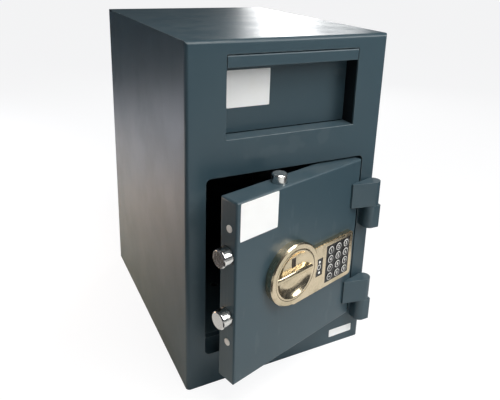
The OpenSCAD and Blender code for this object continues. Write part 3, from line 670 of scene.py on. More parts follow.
@dataclass(frozen=True)
class ChampagneZinc(Finish):
    """Polished champagne gold plate on the cast lock."""

    name: str = "champagne_plate"
    colour: Colour = (0.73, 0.62, 0.45)
    tarnish: Colour = (0.26, 0.19, 0.11)
    olive: Colour = (0.46, 0.40, 0.27)
    # Pale tone on the softened edges: polish wear, and on every edge also a painted edge highlight.
    bright: Colour = (0.93, 0.86, 0.70)
    pitch: float = 0.0005
    gloss: float = 0.19

    def look(self, g: Graph) -> dict[str, object]:
        """Plate with clouds, stains and polishing marks round the knob.

        Args:
            g: Graph of the material.

        Returns:
            The shader's inputs by name.
        """
        centre = place(KNOB_CENTRE[0], 0.0, KNOB_CENTRE[1], door=True)
        rings = g.effect("turning", Centre=centre, Axis=INTO_DOOR, Pitch=self.pitch)["Height"]
        stain = g.ramp(g.noise(75.0, 4.0, 0.65), 0.52, 0.8)
        cloud = g.ramp(g.noise(24.0), 0.40, 0.68)
        base = g.mix(g.drift(self.colour, amount=0.14, scale=45.0), (g.times(cloud, 0.55), self.olive),
                     (g.times(stain, 0.45), self.tarnish),
                     (g.times(g.wear_and_highlight(amount=0.6, scale=120.0), 0.8), self.bright))
        marks = g.scratches(amount=0.45, scale=55.0)
        rough = g.total(self.gloss, (stain, 0.12), (rings, 0.05), (marks, 0.15))
        height = g.total(g.noise(130.0), (rings, 0.12))
        return {"Base Color": base, "Metallic": 1.0, "Roughness": rough, "Normal": g.bump(height, 0.00002, 0.8)}


@dataclass(frozen=True)
class Moulded(Finish):
    """Moulded plastic, from dull to glossy."""

    name: str
    colour: Colour
    gloss: float = 0.4
    grain: float = 1500.0
    grain_depth: float = 0.00002
    rubbed: Colour = (0.5, 0.5, 0.5)

    def look(self, g: Graph) -> dict[str, object]:
        """Plastic with moulded grain and faint scratches.

        Args:
            g: Graph of the material.

        Returns:
            The shader's inputs by name.
        """
        skin = g.noise(self.grain)
        rubbed = g.times(g.wear_and_highlight(amount=0.3, scale=260.0), 0.35)
        base = g.mix(g.drift(self.colour, amount=0.18, scale=55.0), (rubbed, self.rubbed))
        rough = g.total(self.gloss - 0.04, (skin, 0.08), (g.scratches(amount=0.5, scale=90.0), 0.15))
        return {"Base Color": base, "Roughness": rough, "Normal": g.bump(skin, self.grain_depth, 0.5)}


@dataclass(frozen=True)
class Vinyl(Finish):
    """White label stock with a soft sheen."""

    name: str = "label_vinyl"
    colour: Colour = (0.92, 0.93, 0.94)
    yellowed: Colour = (0.87, 0.86, 0.82)
    soiled: Colour = (0.6, 0.59, 0.55)
    gloss: float = 0.38

    def look(self, g: Graph) -> dict[str, object]:
        """Label with paper fibre, faint creases and a slightly soiled rim.

        Args:
            g: Graph of the material.

        Returns:
            The shader's inputs by name.
        """
        blotch = g.ramp(g.noise(34.0, 3.0), 0.45, 0.8)
        base = g.mix(g.drift(self.colour, amount=0.03, scale=30.0), (g.times(blotch, 0.35), self.yellowed),
                     (g.times(g.wear_and_highlight(amount=0.8, scale=150.0), 0.6), self.soiled))
        folds = g.noise(40.0, 1.0, at=g.mapped((0.4, 0.7, 0.2), (1, 1, 5)))
        height = g.total(g.noise(1900.0, 3.0, 0.6), (folds, 6.0))
        return {"Base Color": base, "Roughness": g.total(self.gloss, (blotch, 0.1)),
                "Normal": g.bump(height, 0.00002, 0.6)}


@dataclass(frozen=True)
class CellSleeve(Finish):
    """Shrink sleeve of a battery cell: black below, copper coloured above."""

    name: str = "cell_sleeve"
    black: Colour = (0.015, 0.015, 0.017)
    copper: Colour = (0.45, 0.22, 0.09)
    foot: float = 0.0795
    band: float = 0.036
    blur: float = 0.0004

    def look(self, g: Graph) -> dict[str, object]:
        """Sleeve whose colour changes at a height.

        Args:
            g: Graph of the material.

        Returns:
            The shader's inputs by name.
        """
        split = self.foot + self.band
        height = g.add("ShaderNodeSeparateXYZ", {0: g.where}).outputs["Z"]
        above = g.ramp(height, split, split + self.blur, "LINEAR")
        base = g.mix(g.drift(self.black, amount=0.2, scale=50.0), (above, self.copper))
        rough = g.total(0.25, (g.scratches(amount=0.5, scale=90.0), 0.2))
        return {"Base Color": base, "Roughness": rough, "Metallic": g.times(above, 0.85)}


@dataclass(frozen=True)
class CircuitBoard(Finish):
    """Green lacquered circuit board with tracks."""

    name: str = "circuit_board"
    lacquer: tuple[Colour, Colour] = ((0.02, 0.16, 0.06), (0.02, 0.14, 0.055))
    track: Colour = (0.05, 0.30, 0.12)

    def look(self, g: Graph) -> dict[str, object]:
        """Board with tracks under the lacquer.

        Args:
            g: Graph of the material.

        Returns:
            The shader's inputs by name.
        """
        first, second = self.lacquer
        bricks = g.add("ShaderNodeTexBrick", {
            "Vector": g.mapped((math.pi / 2, 0, -AJAR)), "Scale": 60.0, "Mortar Size": 0.03,
            "Color1": with_alpha(first), "Color2": with_alpha(second), "Mortar": with_alpha(self.track)}).outputs
        return {"Base Color": g.drift(bricks["Color"], amount=0.2, scale=80.0),
                "Roughness": g.total(0.28, (bricks["Fac"], 0.12)), "Normal": g.bump(bricks["Fac"], 0.00003, 0.5)}


@dataclass
class Palette:
    """Every coat of the safe, each built once, and the axes that its steel was turned on."""

    bolt_y: float = 16.2
    side_bolt_x: float = -134.0
    side_bolt_heights: Pair = (155.0, 243.5)
    top_bolt_x: float = -33.5
    rod_axis: Point = (0.0, 30.8, 378.5)

    def __post_init__(self) -> None:
        """Builds the shared effects and the coats."""
        Effects().build()
        up, right = Vector((0.0, 0.0, 1.0)), Vector((1.0, 0.0, 0.0))
        side_bolts = tuple(place(self.side_bolt_x, self.bolt_y, z, door=True) for z in self.side_bolt_heights)
        top_bolt = (place(self.top_bolt_x, self.bolt_y, 0, door=True),)
        self.paint = PowderCoat().build(Slot.PAINT)
        # Near-black coat for the chute's side plates: painted shade on the right wall of the hopper recess.
        self.inner = PowderCoat("inner_coat", (0.006, 0.009, 0.012), (0.05, 0.06, 0.065), dust=0.04, gloss=0.5,
                                specular=0.25).build(Slot.PAINT)
        self.side_bolt = TurnedSteel("bolt_steel_side", ACROSS_DOOR, side_bolts).build(Slot.BRIGHT)
        self.top_bolt = TurnedSteel("bolt_steel_top", up, top_bolt).build(Slot.BRIGHT)
        self.pin = TurnedSteel("pin_steel", up, (PIN,), gloss=0.24).build(Slot.BRIGHT)
        self.rod = TurnedSteel("rod_steel", right, (place(*self.rod_axis),), gloss=0.24).build(Slot.BRIGHT)
        self.zinc = PressedZinc().build(Slot.ZINC)
        self.lock = ChampagneZinc().build(Slot.CHAMPAGNE)
        self.black = Moulded("black_moulding", (0.010, 0.010, 0.011), 0.32).build(Slot.BLACK)
        self.key = Moulded("key_moulding", (0.012, 0.012, 0.014), 0.42, 2200.0, 0.00003).build(Slot.KEY)
        # Dark brown for the cover in the knob's slot, dark enough to stand in also for the shade in the slot.
        self.slot_cover_and_shade = Moulded("slot_cover_brown", (0.035, 0.022, 0.013), 0.34, 1200.0).build(Slot.BLACK)
        self.glass = Moulded("lamp_window", (0.006, 0.006, 0.007), 0.12, 400.0, 0.000004).build(Slot.BLACK)
        self.lamp = Moulded("lamp_lens", (0.82, 0.84, 0.82), 0.18, 700.0, 0.000006).build(Slot.WHITE)
        self.cap = Moulded("cap_white", (0.72, 0.72, 0.70), 0.38).build(Slot.WHITE)
        self.print = Moulded("white_print", (0.80, 0.80, 0.78), 0.5, 3000.0, 0.00001).build(Slot.WHITE)
        self.red = Moulded("red_button", (0.45, 0.02, 0.015), 0.32).build(Slot.RED)
        self.vinyl = Vinyl().build(Slot.WHITE)
        self.sleeve = CellSleeve().build(Slot.SLEEVE)
        self.board = CircuitBoard().build(Slot.BOARD)


def clean_copy(solid: Piece, name: str, turned: Turned | None) -> bpy.types.Mesh:
    """Copies a solid's mesh with its corners joined and its flat faces in one piece.

    Args:
        solid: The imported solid.
        name: Name of the copy.
        turned: An axis whose arcs are made rounder, or None.

    Returns:
        The new mesh.
    """
    work = bmesh.new()
    work.from_mesh(solid.data)
    bmesh.ops.remove_doubles(work, verts=work.verts, dist=WELD)
    bmesh.ops.dissolve_degenerate(work, edges=work.edges, dist=SLIVER)
    bmesh.ops.dissolve_limit(work, angle_limit=FLAT, verts=work.verts, edges=work.edges)
    points = [v.co.copy() for v in work.verts]
    faces = [tuple(v.index for v in f.verts) for f in work.faces]
    work.free()
    if turned:
        faces = round_arcs(points, faces, turned)
    clean = bpy.data.meshes.new(name)
    clean.from_pydata(points, [], faces)
    return clean


def weigh_edges(mesh: bpy.types.Mesh, kept: tuple[Plane, ...]) -> None:
    """Weighs the edges that the bevel takes.

    Args:
        mesh: The clean copy.
        kept: Planes whose edges stay sharp.
    """
    work = bmesh.new()
    work.from_mesh(mesh)
    layer = work.edges.layers.float.new("bevel_weight_edge")
    for edge in work.edges:
        if len(edge.link_faces) == 2 and edge.calc_face_angle(0.0) >= SHARP:
            on_plane = any(all(abs(v.co[axis] - at * MM) < NEAR for v in edge.verts) for axis, at in kept)
            edge[layer] = 0.0 if on_plane else 1.0
    work.to_mesh(mesh)
    work.free()


def mark_edges(mesh: bpy.types.Mesh) -> None:
    """Writes the edge attribute on the softened faces, which have the second material, and leaves one material."""
    marks = [1.0 if p.material_index == 1 else 0.0 for p in mesh.polygons]
    mesh.attributes.new("edge", "FLOAT", "FACE").data.foreach_set("value", marks)
    mesh.polygons.foreach_set("material_index", [0] * len(mesh.polygons))


@dataclass
class Assembly:
    """A group of pieces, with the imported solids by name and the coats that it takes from."""

    nodes: dict[str, Piece]
    palette: Palette

    def plain(self, coat: Coat, *nodes: str) -> None:
        """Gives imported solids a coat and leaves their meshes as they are.

        Args:
            coat: The coat to show.
            nodes: Names of the solids.
        """
        for node in nodes:
            solid = self.nodes[node]
            if len(solid.material_slots) == 0:
                solid.data.materials.append(coat.material)
            for holder in solid.material_slots:
                holder.link = "OBJECT"
                holder.material = coat.material
            LOG.info("%s keeps its solid", node)

    def dress(self, coat: Coat, width: float, *nodes: str, kept: tuple[Plane, ...] = (), steps: int = 2,
              turned: Turned | None = None) -> None:
        """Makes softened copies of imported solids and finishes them.

        Args:
            coat: The coat to show.
            width: Width of the softened edges in millimetres.
            nodes: Names of the solids.
            kept: Planes, as axis number and place in millimetres, whose edges stay sharp.
            steps: Faces across a softened edge.
            turned: An axis whose arcs are made rounder, or None.
        """
        for node in nodes:
            mesh = clean_copy(self.nodes[node], f"{node}_look", turned)
            piece = put(mesh.name, mesh)
            weigh_edges(mesh, kept)
            mesh.materials.append(None)
            mesh.materials.append(None)
            smooth(mesh, SHARP)
            bevel = piece.modifiers.new("soft_edges", "BEVEL")
            bevel.limit_method, bevel.width, bevel.segments = "WEIGHT", width * MM, steps
            bevel.material, bevel.harden_normals, bevel.use_clamp_overlap = 1, True, True
            settle(piece)
            mark_edges(piece.data)
            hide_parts(node)
            finish_piece(piece, self.nodes[node]["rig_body"], coat)


@dataclass
class Cabinet(Assembly):
    """The welded body: shell, jamb, chute, guard and knuckles."""

    sheet: float = 3.0
    rim: float = 16.0
    height: float = 500.0

    def build(self) -> None:
        """Dresses the solids of the body, with sharp edges along the seams."""
        paint, front = self.palette.paint, FRONT_Y / MM
        behind_rim, behind_sheet = (1, self.rim + front), (1, self.sheet + front)
        corners = behind_rim, (2, self.height - self.sheet)
        self.dress(paint, 0.45, "front_frame", kept=(behind_rim, behind_sheet))
        self.dress(paint, 0.5, "side_left", "side_right", kept=corners)
        self.dress(paint, 0.7, "top_plate", kept=corners)
        self.dress(paint, 0.5, "back_plate", "base_plate")
        self.dress(paint, 0.4, "jamb_left", "jamb_right", "jamb_head", "jamb_sill", kept=(behind_sheet,))
        self.dress(paint, 0.3, "chute_floor", "fishing_guard", "guard_comb")
        # The chute's side plates take the near-black coat: painted shade on the right wall of the hopper recess.
        self.dress(self.palette.inner, 0.3, "chute_left", "chute_right")
        self.dress(paint, 0.5, "knuckle_upper", "knuckle_lower", kept=((1, front),))
        self.plain(self.palette.pin, "hinge_pins")


@dataclass
class Hopper(Assembly):
    """The tipping hopper with its grip lip."""

    def build(self) -> None:
        """Dresses the solids of the hopper."""
        self.dress(self.palette.paint, 0.35, "hopper_front")
        self.dress(self.palette.paint, 0.3, "hopper_cheeks", "hopper_tray")
        self.dress(self.palette.rod, 0.5, "hopper_rod")


@dataclass
class CoverScrews(Assembly):
    """Cross head screws that hold the cover of the door, set out by geometry nodes."""

    spread: Pair = (227.5, 250.0)
    grid: tuple[int, int] = (3, 2)
    centre: Point = (1.25, 32.5, 187.5)
    head: Pair = (3.0, 0.8)
    shaft: Pair = (1.55, 6.0)
    tip: float = 0.8
    tip_share: float = 0.6
    cross: tuple[float, float, float] = (0.32, 1.7, 0.55)
    cross_share: float = 0.9
    dome: tuple[Pair, ...] = ((1.0, 0.0), (1.0, 0.25), (0.88, 0.62), (0.66, 0.88), (0.5, 0.96), (0.36, 1.0),
                              (0.2, 1.0), (0.0, 1.0))
    sides: int = 32

    def screw(self) -> Piece:
        """Makes one screw that looks along its own Z, its head from the origin up.

        Returns:
            The screw.
        """
        (radius, height), (shaft, length) = self.head, self.shaft
        half_width, reach, depth = self.cross
        profile = [(0.0, -length), (shaft * self.tip_share, -length), (shaft, self.tip - length), (shaft, 0.0)]
        profile += [(across * radius, up * height) for across, up in self.dome]
        points = []
        for out, level in profile:
            for x, y in circle(0.0, 0.0, out, sides=self.sides):
                in_cross = min(abs(x), abs(y)) < half_width and out < reach
                recessed = level > self.cross_share * height and in_cross
                points.append(Vector((x, y, level - (depth if recessed else 0.0))) * MM)
        return mesh_piece("screw_pattern", points, bands(len(profile), self.sides))

    def tree(self) -> bpy.types.NodeTree:
        """Builds the geometry node tree that sets one screw out on a grid.

        Returns:
            The tree.
        """
        tree = bpy.data.node_groups.new("screw_grid", "GeometryNodeTree")
        kinds = {"Geometry": "Geometry", "Screw": "Object", "Across": "Float", "Up": "Float", "Columns": "Int",
                 "Rows": "Int", "Finish": "Material"}
        for label, kind in kinds.items():
            tree.interface.new_socket(label, in_out="INPUT", socket_type=f"NodeSocket{kind}")
        tree.interface.new_socket("Geometry", in_out="OUTPUT", socket_type="NodeSocketGeometry")
        g = Graph(tree)
        at = g.add("NodeGroupInput").outputs
        grid = g.add("GeometryNodeMeshGrid", {"Size X": at["Across"], "Size Y": at["Up"],
                                              "Vertices X": at["Columns"], "Vertices Y": at["Rows"]})
        shape = g.add("GeometryNodeObjectInfo", {"Object": at["Screw"]}).outputs["Geometry"]
        turn = g.add("FunctionNodeRandomValue", {"Max": (0.0, 0.0, math.pi), "Seed": 7}, data_type="FLOAT_VECTOR")
        spread = g.add("GeometryNodeInstanceOnPoints", {"Points": grid.outputs["Mesh"], "Instance": shape,
                                                        "Rotation": turn.outputs["Value"]})
        real = g.add("GeometryNodeRealizeInstances", {0: spread.outputs[0]}).outputs[0]
        made = g.add("GeometryNodeSetMaterial", {"Geometry": real, "Material": at["Finish"]}).outputs[0]
        g.add("NodeGroupOutput", {"Geometry": made})
        return tree

    def build(self) -> None:
        """Sets the screws out and turns them into one plain mesh on the door."""
        pattern = self.screw()
        start = [Vector(corner) * MM for corner in ((0, 0, 0), (1, 0, 0), (0, 1, 0))]
        piece = mesh_piece("cover_screws_look", start, [(0, 1, 2)])
        setter = piece.modifiers.new("screws", "NODES")
        setter.node_group = self.tree()
        values = {"Screw": pattern, "Across": self.spread[0] * MM, "Up": self.spread[1] * MM,
                  "Columns": self.grid[0], "Rows": self.grid[1], "Finish": self.palette.zinc.material}
        for item in setter.node_group.interface.items_tree:
            if item.in_out == "INPUT" and item.name in values:
                setter[item.identifier] = values[item.name]
        settle(piece)
        bpy.data.objects.remove(pattern)
        standing = Matrix.Rotation(-math.pi / 2, 4, "X")
        piece.data.transform(ON_DOOR @ Matrix.Translation(place(*self.centre)) @ standing)
        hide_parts("cover_screws")
        finish_piece(piece, "door", self.palette.zinc, 40)


@dataclass
class Door(Assembly):
    """Door shell, cover, caps, hinge leaves and the parts on its inner face."""

    def build(self) -> None:
        """Dresses the solids of the door and sets its screws."""
        self.dress(self.palette.paint, 0.35, "door_pan", "door_cover")
        self.dress(self.palette.paint, 0.5, "leaf_upper", "leaf_lower")
        self.dress(self.palette.cap, 0.3, "side_caps")
        self.dress(self.palette.black, 0.2, "battery_lid")
        self.dress(self.palette.red, 0.4, "reset_button")
        self.plain(self.palette.black, "reset_switch", "battery_case")
        self.plain(self.palette.sleeve, "batteries")
        CoverScrews(self.nodes, self.palette).build()


@dataclass
class Boltwork(Assembly):
    """Bolts, carriage, link, cam and the parts that drive them."""

    def build(self) -> None:
        """Dresses the bolts and finishes the pieces behind the cover."""
        self.dress(self.palette.side_bolt, 0.35, "side_bolts")
        self.dress(self.palette.top_bolt, 0.35, "top_bolt")
        self.plain(self.palette.zinc, "bolt_carriage", "top_link", "cam", "guide_studs", "solenoid", "spindle",
                   "spindle_bush")
        self.plain(self.palette.pin, "solenoid_plunger")


@dataclass
class Keypad(Assembly):
    """Key field with its printed rings and figures, the lamp window and the board behind."""

    centre: Pair = (73.0, 175.5)
    pitch: Pair = (17.0, 14.4)
    field_y: float = -7.1
    key_y: float = -8.6
    key_flat: float = 5.2
    key_slope: float = 0.4 / 0.6
    ring: Pair = (4.72, 5.62)
    figure_height: float = 4.9
    font_size: float = 1.38
    font_weight: float = 0.12
    ink: float = 0.05
    window: Pair = (32.5, 177.5)
    window_rise: float = 0.6
    window_ring: Pair = (3.2, 4.3)
    window_squeeze: float = 0.85
    lamp: Pair = (2.1, 0.45)
    lamp_steps: int = 7
    lamp_spread: float = 8.5
    keys: tuple[str, ...] = ("1", "2", "3", "4", "5", "6", "7", "8", "9", "left", "0", "right")
    bar_left: Pair = (4.4, 1.1)
    bar_right: Pair = (1.8, 5.2)

    def spot(self, index: int) -> Pair:
        """Centre of a key on the closed door, in millimetres."""
        row, column = divmod(index, 3)
        return (self.centre[0] + (column - 1) * self.pitch[0], self.centre[1] + (1.5 - row) * self.pitch[1])

    def key_ring(self, name: str, at: Pair) -> Piece:
        """Prints a ring that follows the flat top and the chamfer of a key.

        Args:
            name: Name of the piece.
            at: Centre of the key.

        Returns:
            The ring.
        """
        inner, outer = self.ring
        edge_y = self.key_y + (outer - self.key_flat) * self.key_slope
        under = [(inner, self.key_y), (self.key_flat, self.key_y), (outer, edge_y)]
        over = [(radius, depth - self.ink) for radius, depth in reversed(under)]
        return loft(name, [(circle(*at, radius), depth) for radius, depth in under + over], hollow=True)

    def bar(self, name: str, at: Pair, size: Pair) -> Piece:
        """Prints a bar with round ends on a key."""
        shape = outline(*at, size, min(size) / 2)
        return loft(name, [(shape, self.key_y), (shape, self.key_y - self.ink)])

    def figure(self, name: str, mark: str, at: Pair) -> Piece:
        """Prints a figure on a key.

        Args:
            name: Name of the piece.
            mark: The figure.
            at: Centre of the key.

        Returns:
            The figure as a mesh.
        """
        curve = bpy.data.curves.new(name, "FONT")
        curve.body, curve.size = mark, self.figure_height * self.font_size * MM
        curve.align_x, curve.align_y = "CENTER", "CENTER"
        curve.extrude, curve.offset = self.ink / 2 * MM, self.font_weight * MM
        text = put(f"{name}_text", curve)
        mesh = baked(text)
        bpy.data.objects.remove(text)
        low, high = (Vector([end(v.co[i] for v in mesh.vertices) for i in range(3)]) for end in (min, max))
        mesh.transform(Matrix.Translation(-(low + high) / 2))
        standing = Matrix.Rotation(math.pi / 2, 4, "X")
        mesh.transform(ON_DOOR @ Matrix.Translation(place(at[0], self.key_y - self.ink / 2, at[1])) @ standing)
        return put(name, mesh)

    def lens(self, name: str, at: Pair) -> Piece:
        """Makes a small domed lens over a lamp of the window.

        Args:
            name: Name of the piece.
            at: Centre of the lamp.

        Returns:
            The lens.
        """
        radius, rise = self.lamp
        foot = self.field_y - self.window_rise
        turns = [math.pi / 2 * i / self.lamp_steps for i in range(self.lamp_steps)]
        return loft(name, [(circle(*at, radius * math.cos(t)), foot - rise * math.sin(t)) for t in turns])

    def build(self) -> None:
        """Dresses the field, the window and each key, and prints the marks."""
        ink = self.palette.print
        self.dress(self.palette.black, 0.2, "keypad_frame")
        self.dress(self.palette.glass, 0.2, "indicator_window")
        self.plain(self.palette.board, "keypad_board")
        bars = {"left": self.bar_left, "right": self.bar_right}
        for index, label in enumerate(self.keys):
            at, name = self.spot(index), f"mark_{label}"
            body = self.nodes[f"key_{label}"]["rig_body"]
            self.dress(self.palette.key, 0.2, f"key_{label}")
            finish_piece(self.key_ring(f"ring_{label}", at), body, ink)
            mark = self.bar(name, at, bars[label]) if label in bars else self.figure(name, label, at)
            finish_piece(mark, body, ink)
        inner, outer = (circle(*self.window, radius, self.window_squeeze) for radius in self.window_ring)
        front = self.field_y - self.ink
        rings = [(inner, self.field_y), (outer, self.field_y), (outer, front), (inner, front)]
        finish_piece(loft("window_mark", rings, hollow=True), "door", ink)
        for side, label in ((-1, "low"), (1, "high")):
            at = self.window[0], self.window[1] + side * self.lamp_spread
            finish_piece(self.lens(f"lamp_{label}", at), "door", self.palette.lamp, 50)


@dataclass
class Lock(Assembly):
    """The champagne housing with its ring, the knob in it and the cover of the spare key slot."""

    slot_centre: Pair = (-19.5, 204.0)
    slot_size: Pair = (7.5, 14.5)
    slot_corner: float = 0.8
    slot_floor: float = -3.5
    cover_front: float = -5.7
    cover_chamfer: float = 0.35
    groove: Pair = (1.4, 9.5)
    groove_corner: float = 0.6
    groove_depth: float = 0.6
    face: float = -12.0
    floor: float = -5.0
    back: float = -2.3
    ring_limit: float = 46.2
    knob_radius: float = 37.5
    knob_sides: int = 144
    knob_edge: float = 0.4
    rim_round: tuple[Pair, ...] = ((-0.6, 0.0), (-0.15, 0.15), (0.0, 0.6))
    bowl_radius: float = 34.5
    bowl_lip: tuple[Pair, ...] = ((-0.12, 0.2), (0.25, 0.02), (0.6, 0.0))
    bowl_steps: int = 16
    core_share: float = 0.06
    flat_radius: float = 20.0
    bar_size: Pair = (69.4, 10.0)
    bar_axis: float = -8.5
    bar_corner: float = 0.15
    bar_foot: float = 0.2
    bar_gap: float = 0.05
    bar_steps: int = 14
    spindle_radius: float = 5.05
    spindle_seat: float = 1.7

    def slot_cover(self) -> None:
        """Makes a small cover with a groove, seated in the slot of the knob; its dark brown also paints the shade in
        the slot.
        """
        whole, front, outer, inner = self.slot_size, self.cover_front, self.slot_corner, self.groove_corner
        narrower = (whole[0] - 2 * self.cover_chamfer, whole[1] - 2 * self.cover_chamfer)
        profile = ((whole, outer, self.slot_floor), (whole, outer, front + self.cover_chamfer),
                   (narrower, inner, front), (self.groove, inner, front),
                   (self.groove, inner, front + self.groove_depth))
        rings = [(outline(*self.slot_centre, size, corner), depth) for size, corner, depth in profile]
        finish_piece(loft("slot_cover", rings), "knob", self.palette.slot_cover_and_shade, 30)

    def knob(self) -> None:
        """Turns the knob: a rounded rim, a bowl that runs out softly into its floor, and the seat of the spindle."""
        bowl, rim, face, back = self.bowl_radius, self.knob_radius, self.face, self.back
        profile = [(bowl * self.core_share, self.floor), (self.flat_radius, self.floor)]
        for i in range(1, self.bowl_steps):
            share = i / self.bowl_steps
            reach = self.flat_radius + share * (bowl - self.flat_radius)
            profile.append((reach, self.floor + (face - self.floor) * share ** 2))
        for radius, corner in ((bowl, self.bowl_lip), (rim, self.rim_round)):
            profile += [(radius + out, face + deep) for out, deep in corner]
        profile += [(rim, back - self.knob_edge), (rim - self.knob_edge, back), (self.spindle_radius, back),
                    (self.spindle_radius, back - self.spindle_seat)]
        rings = [(circle(*KNOB_CENTRE, radius, sides=self.knob_sides), depth) for radius, depth in profile]
        piece = loft("knob_look", rings)
        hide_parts("knob")
        finish_piece(piece, "knob", self.palette.lock, 30)

    def grip_bar(self) -> None:
        """Makes the half round bar across the bowl, its crown just behind the rim."""
        length, width = self.bar_size
        crown = self.face + self.bar_gap - self.bar_axis
        levels = [(width, self.floor + self.bar_foot)]
        for i in range(self.bar_steps):
            turn = math.pi / 2 * i / self.bar_steps
            levels.append((width * math.cos(turn), self.bar_axis + crown * math.sin(turn)))
        rings = [(outline(*KNOB_CENTRE, (length, across), self.bar_corner, 2), depth) for across, depth in levels]
        finish_piece(loft("grip_bar", rings), "knob", self.palette.lock, 35)

    def build(self) -> None:
        """Seats the cover, dresses the housing and turns the knob with its bar."""
        self.slot_cover()
        turned = place(KNOB_CENTRE[0], 0.0, KNOB_CENTRE[1], door=True), INTO_DOOR, self.ring_limit * MM
        self.dress(self.palette.lock, 0.5, "lock_housing", steps=3, turned=turned)
        self.knob()
        self.grip_bar()


@dataclass
class Labels(Assembly):
    """Bare white labels: one on the hopper, one on the door and a small one on the front."""

    thickness: float = 0.12
    corner: float = 0.8
    wave: float = 0.03
    ripples: Pair = (0.21, 0.17)
    ripple_start: float = 0.5
    columns: int = 24
    rows: int = 20

    def rounded(self, x: float, z: float, size: Pair) -> Pair:
        """Draws a point of the grid in where it lies outside a round corner.

        Args:
            x: Place to the right of the label's centre.
            z: Place above its centre.
            size: Width and height of the label.

        Returns:
            The point's new place.
        """
        over_x, over_z = (max(0.0, abs(at) - (side / 2 - self.corner)) for at, side in zip((x, z), size))
        reach = math.hypot(over_x, over_z)
        if over_x > 0 and over_z > 0 and reach > self.corner:
            x -= math.copysign(over_x * (1 - self.corner / reach), x)
            z -= math.copysign(over_z * (1 - self.corner / reach), z)
        return x, z

    def sheet(self, name: str, body: str, centre: Point, size: Pair, tilt: float = 0.0) -> None:
        """Sticks on a thin label with round corners and a faint wave in its face.

        Args:
            name: Name of the piece.
            body: Body that it rides on, whose face is the closed door's for the door.
            centre: Centre of the face that it sticks to, by its depth.
            size: Width and height.
            tilt: Turn in its plane, in degrees.
        """
        cos, sin = math.cos(math.radians(tilt)), math.sin(math.radians(tilt))
        wide, high, (across, up) = self.columns, self.rows, self.ripples
        points = []
        for face in (0, 1):
            for row in range(high + 1):
                for column in range(wide + 1):
                    x, z = self.rounded((column / wide - 0.5) * size[0], (row / high - 0.5) * size[1], size)
                    wave = self.wave * math.sin(across * x + self.ripple_start) * math.sin(up * z)
                    points.append(place(centre[0] + x * cos - z * sin, centre[1] - face * (self.thickness + wave),
                                        centre[2] + x * sin + z * cos, body == "door"))
        line, count = wide + 1, (high + 1) * (wide + 1)
        faces = []
        for a in (row * line + column for row in range(high) for column in range(wide)):
            quad = (a, a + 1, a + line + 1, a + line)
            faces += [quad, tuple(count + i for i in reversed(quad))]
        rim = [*range(wide + 1), *(wide + row * line for row in range(1, high + 1)),
               *(high * line + wide - column for column in range(1, wide + 1)),
               *((high - row) * line for row in range(1, high))]
        faces += [(a, b, count + b, count + a) for a, b in zip(rim, rim[1:] + rim[:1])]
        finish_piece(mesh_piece(name, points, faces), body, self.palette.vinyl)

    def build(self) -> None:
        """Sticks the three labels on."""
        self.sheet("label_hopper", "hopper", (-53.5, 25.0, 432.0), (63.0, 50.0))
        self.sheet("label_door", "door", (-81.5, 0.0, 291.5), (64.0, 51.0))
        self.sheet("label_front", "cabinet", (113.0, 0.0, 20.0), (42.5, 13.5), tilt=1.5)


